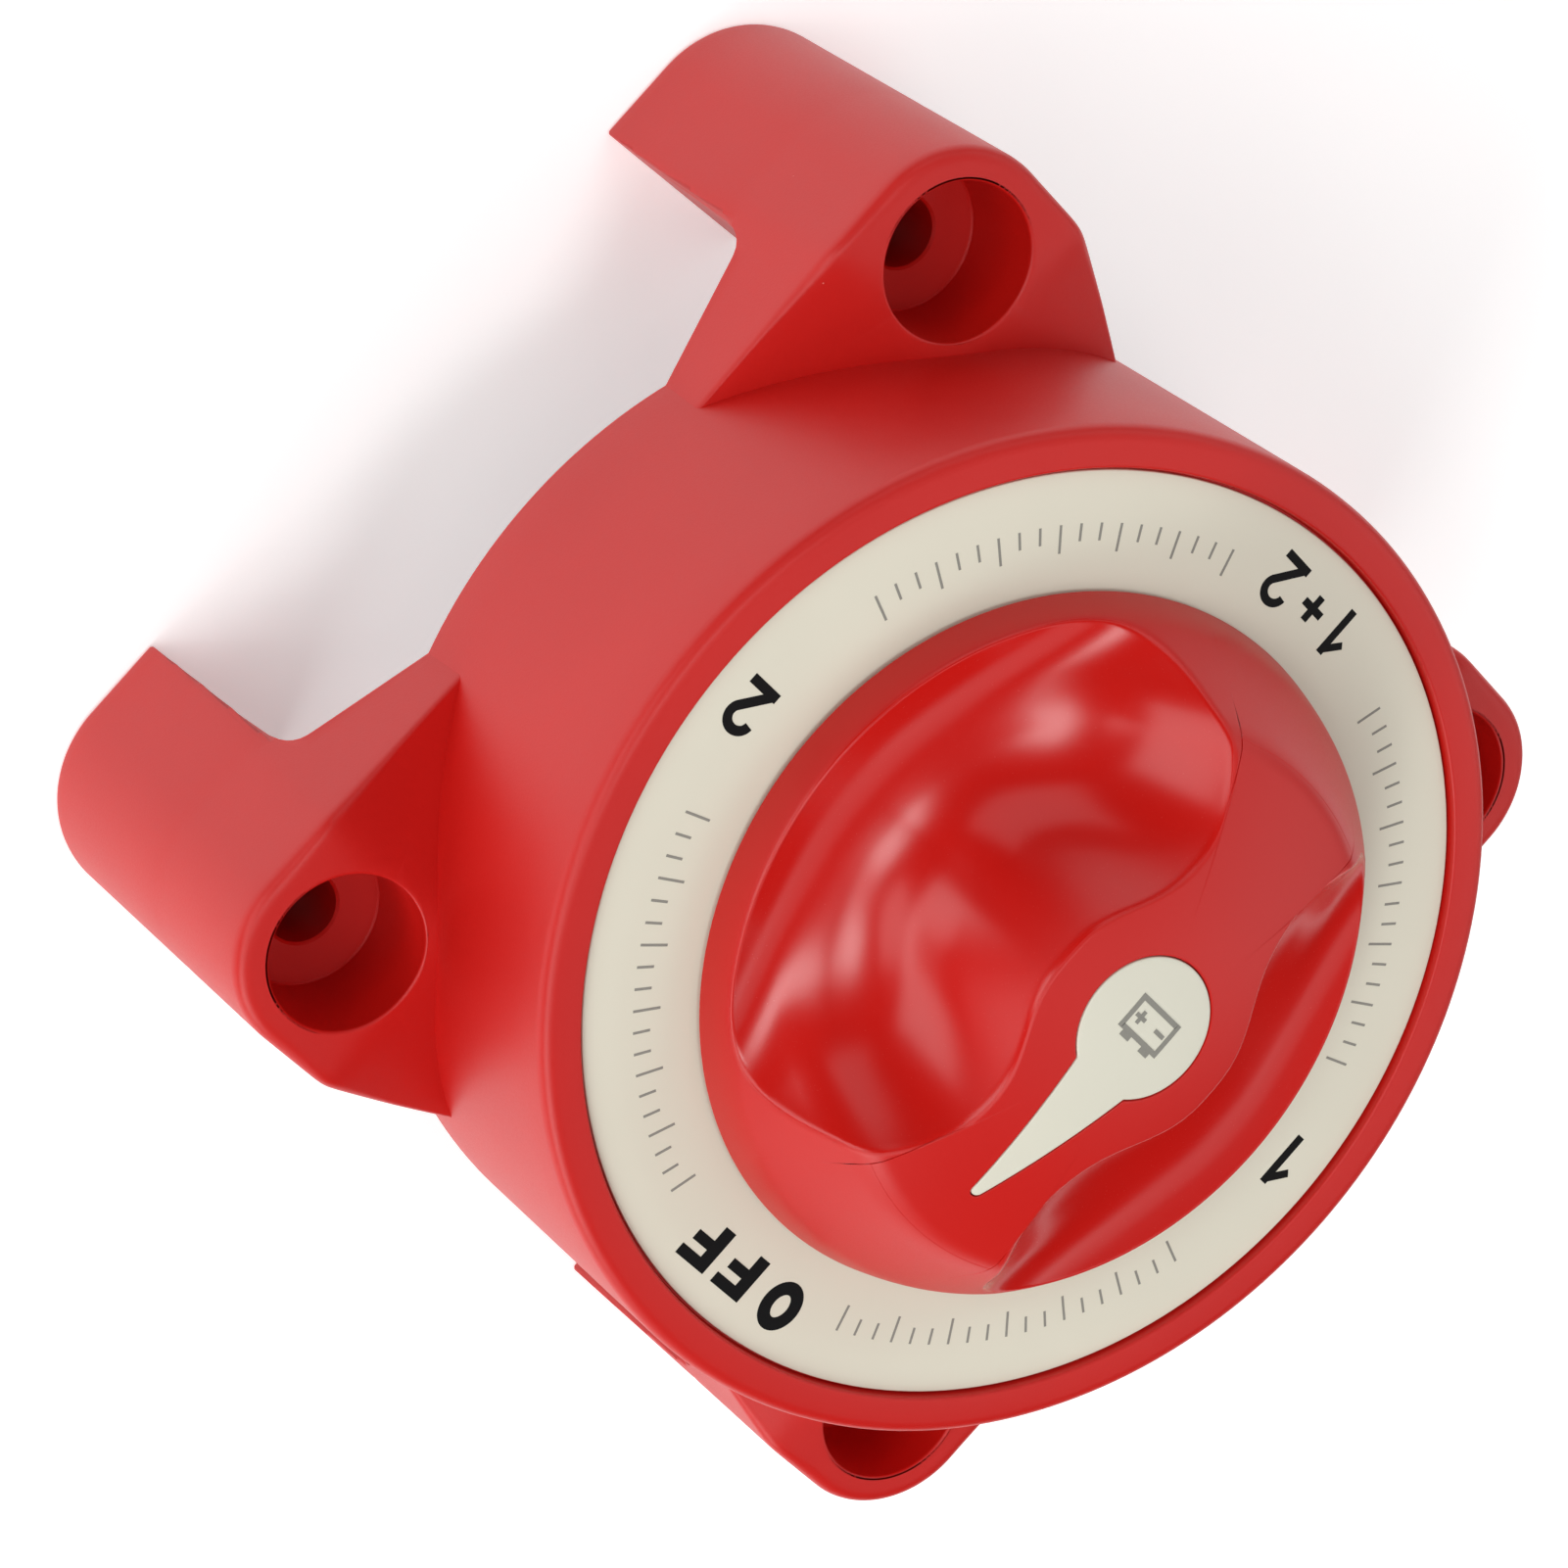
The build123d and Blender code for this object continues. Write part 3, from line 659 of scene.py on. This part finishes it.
def stroke(path, width, height, closed=False, thickness=INK):
    """A strip of ink. Each edge is the path plus or minus half the width times its normal,
    lengthened at a bend by 1 over the cosine of half the turn. height is a function of the
    distance from the axis."""
    path = np.asarray(path, float)
    ahead = np.roll(path, -1, axis=0) - path
    behind = path - np.roll(path, 1, axis=0)
    if not closed:
        ahead[-1], behind[0] = behind[-1], ahead[0]
    normals = [np.stack([-run[:, 1], run[:, 0]], -1) / np.hypot(*run.T)[:, None]
               for run in (ahead, behind)]
    mitre = sum(normals) / (1 + (normals[0] * normals[1]).sum(-1, keepdims=True))
    left, right = path + mitre * width / 2, path - mitre * width / 2
    rows = []
    for edge, lift in ((right, thickness), (left, thickness), (left, -0.02), (right, -0.02)):
        rows.append(np.column_stack([edge, height(np.hypot(*edge.T)) + lift]))
    points, faces = grid(np.stack(rows), close_rows=True, close_columns=closed)
    if not closed:
        faces += end_faces(4, len(path))
    return points, faces


# %% A plain battery sign on the pointer's head
def battery_sign(x, y, height):
    """A box outline with two terminals on top, a plus and a minus inside."""
    corners = [(x - 3.1, y), (x - 3.1, y - 2.2), (x + 3.1, y - 2.2), (x + 3.1, y + 1.6),
               (x - 3.1, y + 1.6), (x - 3.1, y + 0.3)]
    lines = [stroke(dense(corners), 0.62, height, closed=True)]
    for side in (-1.7, 1.7):
        for half, up, width in ((0.75, 2.2, 0.7), (0.8, -0.3, 0.5)):
            line = [(x + side - half, y + up), (x + side + half, y + up)]
            lines.append(stroke(dense(line), width, height))
    lines.append(stroke(dense([(x + 1.7, y - 1.1), (x + 1.7, y + 0.5)]), 0.5, height))
    return lines


def sign_height(r):
    """The sign lies 0.02 mm over the inlay's curved top."""
    return inlay_top(r) + 0.02


sign = battery_sign(0.0, -0.3, sign_height)
inlay = new_piece("pointer_lid", [grid(inlay_skin(), cap=True)] + sign, smooth_angle=50,
                  finish_numbers=[0] + [1] * len(sign))
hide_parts("pointer_inlay")
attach(inlay, "selector")

# %% [markdown]
# ## The dial
# A thin printed ring lies in the body's recess. It is a flat ring with a softened edge. Its
# four marks are heavy, plain letters, and fine grey ticks stand between them.

# %% Dial letters
DIAL_Z = 78.0


def dial_top(r):
    """The dial is flat."""
    return DIAL_Z + 0 * r


def letter_f(x, foot):
    """Stem and two arms of a bold F."""
    return [stroke([(x, foot), (x, foot + 5.65)], 1.7, dial_top),
            stroke([(x, foot + 4.97), (x + 3.95, foot + 4.97)], 1.36, dial_top, thickness=INK_OVER),
            stroke([(x, foot + 2.65), (x + 3.4, foot + 2.65)], 1.3, dial_top, thickness=INK_OVER)]


def figure_one(x, foot, height, width):
    """Stem, and a flag that falls away to the left."""
    top = foot + height
    flag = [(x + 0.1, top - 0.45), (x - 0.31 * height, top - 0.4 * height)]
    return [stroke([(x, foot), (x, top)], width, dial_top),
            stroke(flag, 0.9 * width, dial_top, thickness=INK_OVER)]


def figure_two(x, foot, height, width):
    """A round head that runs on into a straight diagonal, and a flat foot."""
    across, up = 0.235 * height, 0.215 * height
    head = arc(x, foot + height - up - width / 2, across, up, 178, -32)
    path = np.concatenate([head, [(x - 0.95 * across, foot + 0.55 * width)]])
    base = [(x - 1.32 * across, foot + width / 2), (x + 1.36 * across, foot + width / 2)]
    return [stroke(path, width, dial_top), stroke(base, width, dial_top, thickness=INK_OVER)]


letters = [stroke(arc(-6.75, 48.15, 1.8, 2.3, 0, 352.5, 48), 1.6, dial_top, closed=True)]
letters += letter_f(-0.95, 45.3) + letter_f(5.25, 45.3)
letters += figure_one(-48.3, -5.4, 6.85, 1.1) + figure_two(48.9, -0.6, 6.6, 1.15)
letters += figure_one(-3.2, -51.45, 6.1, 0.98) + figure_two(7.05, -51.0, 6.4, 1.0)
letters += [stroke([(-0.2, -48.2), (3.1, -48.2)], 0.95, dial_top),
            stroke([(1.45, -49.85), (1.45, -46.55)], 0.95, dial_top, thickness=INK_OVER)]

# %% Dial ring and ticks
def tick(azimuth, inner, outer, width):
    """A short radial line."""
    along = np.array([np.cos(np.radians(azimuth)), np.sin(np.radians(azimuth))])
    return stroke([along * inner, along * outer], width, dial_top)


ticks = [tick(quarter + step, 45.4 if step % 9 == 0 else 46.6, 48.6, 0.3)
         for quarter in (0, 90, 180, 270) for step in range(18, 73, 3)]
DIAL_R, DIAL_HOLE_R = 54.5, 36.0
dial_profile = [(DIAL_R, RECESS_Z, 0.1), (DIAL_R, DIAL_Z, 0.16), (DIAL_HOLE_R, DIAL_Z, 0.16),
                (DIAL_HOLE_R, RECESS_Z, 0.1)]
dial_ring = ring_solid(dial_profile, columns=224, steps=3)
dial = new_piece("dial_face", [dial_ring] + letters + ticks, smooth_angle=50,
                 finish_numbers=[0] + [1] * len(letters) + [2] * len(ticks))
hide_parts("dial_ring")
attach(dial, "housing")

# %% [markdown]
# ## Terminal hardware
# Under the body, each stud carries a washer and a thin nut that clamp it to the base plate,
# then the washer, spring washer and nut that hold a cable lug. A thread could be a texture,
# but its outline would stay smooth, so here the radius itself follows a helix: it depends on
# the height in pitches less the angle in turns. A nut is a hexagon whose corners a shallow
# cone cuts away.

# %% Studs with their thread
STUDS = {"stud_common": (0.0, 30.0, 46.0), "stud_1": (-21.2, -21.2, 48.0),
         "stud_2": (21.2, -21.2, 48.0)}        # x, y and top
PITCH, STUD_R, THREAD_FOOT, THREAD_TOP = 1.5, 4.95, 8.0, 36.8
SHANK_R, SPIGOT_R, SHOULDER_Z, THREAD_DEPTH = 5.6, 4.0, 44.0, 0.85


def stud_skin(x, y, top):
    """Radius = crest less the depth of a V that repeats once a pitch along the helix."""
    angle = np.linspace(0, 2 * np.pi, 48, endpoint=False)
    height = np.arange(THREAD_FOOT, THREAD_TOP, PITCH / 8)[:, None]
    along = (height / PITCH - angle / (2 * np.pi)) % 1
    groove = np.clip(1.25 - 2.5 * np.abs(along - 0.5), 0, 1)
    radius = np.minimum(STUD_R - THREAD_DEPTH * groove, SPIGOT_R + height - THREAD_FOOT)
    shank = np.array([[SHANK_R - 0.3, THREAD_TOP], [SHANK_R, THREAD_TOP + 0.3],
                      [SHANK_R, SHOULDER_Z], [SPIGOT_R, SHOULDER_Z],
                      [SPIGOT_R, top - 0.3], [SPIGOT_R - 0.3, top]])
    radius = np.concatenate([radius, shank[:, :1] + 0 * angle])
    height = np.concatenate([height, shank[:, 1:]]) + 0 * angle
    return np.stack([x + radius * np.cos(angle), y + radius * np.sin(angle), height], axis=-1)


terminal_pieces = {}
for name, (x, y, top) in STUDS.items():
    terminal_pieces[name] = new_piece(name + "_thread", [grid(stud_skin(x, y, top), cap=True)],
                                      smooth_angle=50)

# %% Nuts and washers
def hex_nut(x, y, foot, top, across=17.0, hole=4.75):
    """Hexagon: half the width over the cosine of the angle from the nearest flat. Past the
    face's round, both faces fall at 30 degrees."""
    angle = np.linspace(0, 2 * np.pi, 96, endpoint=False)
    flat = across / 2 / np.cos(angle % (np.pi / 3) - np.pi / 6)
    face = 0.485 * across
    fall = (flat - face) * np.tan(np.radians(30))
    rows = [(hole + 0.6, foot), (face, foot), (flat, foot + fall), (flat, top - fall), (face, top),
            (hole + 0.6, top), (hole, top - 0.6), (hole, foot + 0.6)]
    return grid(np.stack([np.stack([x + r * np.cos(angle), y + r * np.sin(angle),
                                    z + 0 * angle], axis=-1) for r, z in rows]), close_rows=True)


def washer(x, y, foot, top):
    """A turned ring with softened edges."""
    profile = [(10.0, foot, 0.25), (10.0, top, 0.25), (5.25, top, 0.15), (5.25, foot, 0.15)]
    return ring_solid(profile, columns=72, x=x, y=y, steps=3)


def spring_washer(x, y, foot, top):
    """Square section carried round a little less than one turn, rising 0.3 mm on the way."""
    angle = np.radians(np.linspace(4, 356, 80))
    climb = 0.3 * (angle / (2 * np.pi) - 0.5)
    rows = [(8.6, foot + 0.15), (8.6, top - 0.15), (5.4, top - 0.15), (5.4, foot + 0.15)]
    points, faces = grid(np.stack([np.stack([x + r * np.cos(angle), y + r * np.sin(angle),
                                             z + climb], axis=-1) for r, z in rows]),
                         close_rows=True, close_columns=False)
    return points, faces + end_faces(4, len(angle))


STACK = {"stud_washers": (washer, 35.3, 36.8), "jam_nuts": (hex_nut, 30.3, 35.3),
         "lug_washers": (washer, 28.7, 30.3), "lock_washers": (spring_washer, 26.5, 28.7),
         "lug_nuts": (hex_nut, 18.5, 26.5)}
for name, (shape, foot, top) in STACK.items():
    parts = [shape(x, y, foot, top) for x, y, spigot in STUDS.values()]
    terminal_pieces[name] = new_piece(name + "_turned", parts, smooth_angle=25)
for name, piece in terminal_pieces.items():
    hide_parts(name)
    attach(piece, "housing")

# %% [markdown]
# ## Materials as sums
# A material is a small sum: noise, a mask, a blend. One class wraps a socket so that such a
# sum can be written as plain Python, and each step adds its Math node. Colours go through Mix
# nodes, since a Math node would turn them grey.

# %% Socket arithmetic
class Wire:
    """An output socket that can be added, multiplied and compared like a number."""

    def __init__(self, socket):
        self.socket = socket

    def math(self, operation, *others):
        """This wire and the others through one Math node."""
        tree = self.socket.id_data
        node = tree.nodes.new("ShaderNodeMath")
        node.operation = operation
        for slot, value in zip(node.inputs, (self, *others)):
            plug(slot, value)
        return Wire(node.outputs[0])

    def __add__(self, other):
        return self.math("ADD", other)

    def __mul__(self, other):
        return self.math("MULTIPLY", other)

    def __sub__(self, other):
        return self.math("SUBTRACT", other)

    def __rsub__(self, other):
        return (self * -1) + other

    def __gt__(self, other):
        return self.math("GREATER_THAN", other)

    def __lt__(self, other):
        return self.math("LESS_THAN", other)

    __radd__ = __add__
    __rmul__ = __mul__


def plug(slot, value):
    """Link a wire to an input, or set the input to a value."""
    if isinstance(value, Wire):
        slot.id_data.links.new(value.socket, slot)
    else:
        slot.default_value = value


class Finish:
    """A material whose shader gets constants on its own sockets and wires where it varies."""

    def __init__(self, name):
        self.material = bpy.data.materials.new(name)
        self.material.use_nodes = True
        self.tree = self.material.node_tree
        self.shader = self.tree.nodes["Principled BSDF"]

    def node(self, kind, settings=None, output=0, numbered=None, **sockets):
        """Any node: its settings first, then its sockets by number or by name, with _ for a
        space."""
        made = self.tree.nodes.new(kind)
        for key, value in (settings or {}).items():
            setattr(made, key, value)
        for number, value in (numbered or {}).items():
            plug(made.inputs[number], value)
        for key, value in sockets.items():
            plug(made.inputs[key.replace("_", " ")], value)
        return Wire(made.outputs[output])

    def place(self):
        """The place on the object, in metres."""
        return self.node("ShaderNodeTexCoord", output="Object")

    def noise(self, size_mm, detail=2.0, rough=0.5, stretch=None):
        """Noise whose blobs measure about size_mm."""
        where = self.place()
        if stretch:
            where = self.node("ShaderNodeMapping", Vector=where, Scale=stretch)
        return self.node("ShaderNodeTexNoise", Vector=where, Scale=1 / (size_mm * MM),
                         Detail=detail, Roughness=rough)

    def blend(self, factor, first, second):
        """Colour that goes from first to second as the factor goes from 0 to 1."""
        return self.node("ShaderNodeMix", {"data_type": "RGBA"}, output=2,
                         numbered={0: factor, 6: first, 7: second})

    def bump(self, height, depth_mm, strength):
        """Normal tilted by a height that runs from 0 to 1 over depth_mm."""
        return self.node("ShaderNodeBump", Height=height, Distance=depth_mm * MM,
                         Strength=strength)

    def set(self, **sockets):
        """The shader's sockets by name, and the finished material."""
        for key, value in sockets.items():
            plug(self.shader.inputs[key.replace("_", " ")], value)
        return self.material


def colour(red, green, blue):
    """Linear colour from the usual 0 to 255 values."""
    value = np.array([red, green, blue]) / 255
    linear = np.where(value <= 0.04045, value / 12.92, ((value + 0.055) / 1.055) ** 2.4)
    return (*linear.tolist(), 1.0)


# %% [markdown]
# ## Red moulded plastic
# The body has a fine spark-eroded grain, a few tenths of a millimetre across, which spreads
# the light and breaks up the shine along the edges. The scoops of the knob are polished, so
# the same plastic looks deeper there. The colour hardly varies: a slow drift of a few per
# cent, and specks of dust.

# %% Red plastic
RED, DEEP_RED, SPECK = colour(206, 21, 12), colour(194, 14, 8), colour(240, 160, 150)
POLISHED_ROUGHNESS = 0.24


def red_plastic(name, grain_mm, grain_depth, rough, polished=False):
    """Two noises make the grain, and its height also roughens the shine. A speck is the
    middle of a Voronoi cell, in the patches where a slow noise is high. polished takes most
    of the grain away where the attribute "polish" is 1."""
    finish = Finish(name)
    drift = finish.noise(28.0, detail=1.0)
    grain = finish.noise(grain_mm, detail=2.0, rough=0.6)
    fine = finish.noise(grain_mm * 0.45, detail=1.0)
    far_from_speck = finish.node("ShaderNodeTexVoronoi", Vector=finish.place(),
                                 Scale=1 / (6.0 * MM))
    speck = (finish.noise(3.1, detail=1.0) > 0.54) * (far_from_speck < 0.017)
    base = finish.blend(speck * 0.8, finish.blend(drift, DEEP_RED, RED), SPECK)
    relief = grain * 0.6 + fine * 0.4
    roughness = relief * 0.2 + (rough - 0.1)
    if polished:
        shine = finish.node("ShaderNodeAttribute", {"attribute_name": "polish"}, output="Fac")
        relief = relief * (1 - shine * 0.8)
        roughness = roughness - shine * (rough - POLISHED_ROUGHNESS)
    normal = finish.bump(relief, grain_depth, 0.8)
    return finish.set(Base_Color=base, Roughness=roughness, Normal=normal, IOR=1.5)


cover.data.materials.append(red_plastic("red_grained", 0.26, 0.026, 0.44))
knob.data.materials.append(red_plastic("red_knob", 0.24, 0.018, 0.42, polished=True))

# %% [markdown]
# ## Cream plastic and ink
# The dial is a warm cream film with a slight unevenness, and the ink on it is a flat black.

# %% Cream and ink
def cream_plastic(name, tint, rough):
    """Soft clouds of a tint and one 4 steps darker, and a fine grain."""
    finish = Finish(name)
    cloud = finish.noise(14.0, detail=2.0)
    grain = finish.noise(0.45, detail=1.0)
    base = finish.blend(cloud, colour(*[value - 4 for value in tint]), colour(*tint))
    roughness = grain * 0.1 + (rough - 0.05)
    return finish.set(Base_Color=base, Roughness=roughness,
                      Normal=finish.bump(grain, 0.006, 0.5))


def ink(name, tint):
    """Flat ink: it hardly shines, so its specular level is low all over."""
    finish = Finish(name)
    grain = finish.noise(0.3, detail=2.0)
    base = finish.blend(grain, colour(*tint), colour(*[value + 8 for value in tint]))
    return finish.set(Base_Color=base, Roughness=grain * 0.2 + 0.5, Specular_IOR_Level=0.15)


cream = cream_plastic("cream_film", (226, 222, 204), 0.5)
black_ink = ink("black_ink", (10, 10, 11))
grey_ink = ink("grey_ink", (140, 138, 130))
inlay.data.materials.append(cream_plastic("cream_lid", (226, 223, 206), 0.42))
inlay.data.materials.append(grey_ink)
for material in (cream, black_ink, grey_ink):
    dial.data.materials.append(material)

# %% [markdown]
# ## Inner parts
# The pieces inside keep their own shape. Nylon and rubber get a matt grain. Brass, copper and
# steel get faint clouds and streaks in their shine, which tell metal from grey paint.

# %% Materials of the pieces that keep their own shape
def metal(name, tint, rough):
    """Clouds of tarnish, and fine streaks that run along Z as drawn or turned stock has."""
    finish = Finish(name)
    cloud = finish.noise(5.0, detail=3.0)
    streak = finish.noise(0.5, detail=2.0, stretch=(1.0, 1.0, 0.12))
    base = finish.blend(cloud, colour(*[0.9 * value for value in tint]), colour(*tint))
    roughness = streak * 0.1 + cloud * 0.08 + (rough - 0.08)
    return finish.set(Base_Color=base, Roughness=roughness, Metallic=1.0,
                      Normal=finish.bump(streak, 0.004, 0.4))


def dull_plastic(name, tint, rough, grain_mm=0.4):
    """Nylon or rubber: slow clouds of a tint, and a matt grain."""
    finish = Finish(name)
    cloud = finish.noise(12.0, detail=2.0)
    grain = finish.noise(grain_mm, detail=2.0)
    base = finish.blend(cloud, colour(*[0.85 * value for value in tint]), colour(*tint))
    return finish.set(Base_Color=base, Roughness=grain * 0.14 + (rough - 0.07),
                      Normal=finish.bump(grain, 0.012, 0.6))


BRASS, COPPER, STEEL, SPRING = (205, 165, 95), (205, 120, 85), (195, 197, 200), (190, 190, 188)
FINISHES = {
    "base_plate": dull_plastic("black_nylon", (38, 38, 40), 0.5),
    "rotor": dull_plastic("rotor_nylon", (60, 60, 62), 0.5),
    "thrust_washer": dull_plastic("white_acetal", (220, 218, 210), 0.4),
    "shaft_seal": dull_plastic("seal_rubber", (24, 24, 25), 0.7, 0.25),
    "base_gasket": dull_plastic("gasket_rubber", (30, 30, 31), 0.8, 0.25),
    "shaft_bush": metal("bush_brass", BRASS, 0.3),
    "spindle": metal("spindle_brass", BRASS, 0.28),
    "common_contact": metal("contact_copper", COPPER, 0.3),
    "contact_pad_1": metal("pad_copper_1", COPPER, 0.3),
    "contact_pad_2": metal("pad_copper_2", COPPER, 0.3),
    "contact_plate": metal("plate_copper", COPPER, 0.3),
    "base_screws": metal("screw_steel", STEEL, 0.3),
    "knob_screw": metal("knob_screw_steel", STEEL, 0.3),
    "contact_springs": metal("spring_wire", SPRING, 0.25),
    "detent_spring_right": metal("spring_strip_right", SPRING, 0.25),
    "detent_spring_left": metal("spring_strip_left", SPRING, 0.25),
}
plated = metal("tin_plated_copper", (215, 213, 205), 0.28)
steel = metal("zinc_plated_steel", (200, 202, 204), 0.32)
for name, piece in terminal_pieces.items():
    piece.data.materials.append(plated if name in STUDS else steel)
for name, material in FINISHES.items():
    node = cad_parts[name]
    node.data.materials.clear()
    node.data.materials.append(material)
print("finishes on carried nodes", len(FINISHES))

# %% [markdown]
# ## Floor, light and camera
# A plain pale floor that glows a little, as a light table does, and soft boxes in a ring, most
# of them low and on one side, so that the deep holes stay dark. The camera looks down at 55
# degrees through a long lens and is rolled far round.

# %% Floor
floor_mesh = bpy.data.meshes.new("floor")
floor_mesh.from_pydata([(-9, -9, 0), (9, -9, 0), (9, 9, 0), (-9, 9, 0)], [], [(0, 1, 2, 3)])
floor = bpy.data.objects.new("floor", floor_mesh)
bpy.context.scene.collection.objects.link(floor)
floor.location.z = -0.0002
pale = Finish("pale_floor")
floor_mesh.materials.append(pale.set(Base_Color=(0.93, 0.93, 0.93, 1), Roughness=0.9,
                                  Emission_Color=(1, 1, 1, 1), Emission_Strength=0.36))

# %% Lights and world
LIGHT_DISTANCE = 1.6
LIGHTS_CENTRE = Vector((0, 0, 0.05))
LIGHTS_AIM = Vector((0, 0, 0.06))
SOFTBOXES = [                                  # azimuth, elevation, size, watts
    ("key_low", 95, 28, 0.9, 11.5), ("key_side", 25, 28, 0.9, 6.7), ("key_high", 60, 50, 0.9, 6.2),
    ("side", -50, 34, 1.0, 3.3), ("back_left", 215, 35, 1.0, 3.8), ("back", 185, 55, 0.8, 1.9),
    ("back_right", 260, 30, 1.0, 3.6), ("top", 20, 84, 0.4, 4.5),
]


def softbox(name, azimuth, elevation, size, power):
    """A square light on a ball round the object, at an azimuth and an elevation."""
    turn, rise = np.radians(azimuth), np.radians(elevation)
    away = Vector((np.cos(rise) * np.cos(turn), np.cos(rise) * np.sin(turn), np.sin(rise)))
    data = bpy.data.lights.new(name, "AREA")
    data.shape = "SQUARE"
    data.size = size
    data.energy = power
    lamp = bpy.data.objects.new(name, data)
    lamp.location = LIGHTS_CENTRE + LIGHT_DISTANCE * away
    lamp.rotation_euler = (LIGHTS_AIM - lamp.location).to_track_quat("-Z", "Y").to_euler()
    bpy.context.scene.collection.objects.link(lamp)


for box in SOFTBOXES:
    softbox(*box)
print("soft boxes", len(SOFTBOXES))

world = bpy.data.worlds.new("studio")
bpy.context.scene.world = world
world.use_nodes = True
world.node_tree.nodes["Background"].inputs["Color"].default_value = (1, 1, 1, 1)
world.node_tree.nodes["Background"].inputs["Strength"].default_value = 0.04

# %% Camera
camera_data = bpy.data.cameras.new("camera")
camera_data.lens = 111.64
camera_data.sensor_width = 36.0
camera_data.clip_start = 0.01
camera = bpy.data.objects.new("camera", camera_data)
bpy.context.scene.collection.objects.link(camera)
camera_place = Vector((0.33064, 0.03041, 0.49804))
camera_target = Vector((0.0232, 0.00454, 0.055))
camera_roll = np.radians(127.40)
towards = (camera_target - camera_place).to_track_quat("-Z", "Y")
camera.matrix_world = (
    Matrix.Translation(camera_place) @ towards.to_matrix().to_4x4()
    @ Matrix.Rotation(camera_roll, 4, "Z")
)
bpy.context.scene.camera = camera
bpy.context.scene.view_settings.view_transform = "Standard"
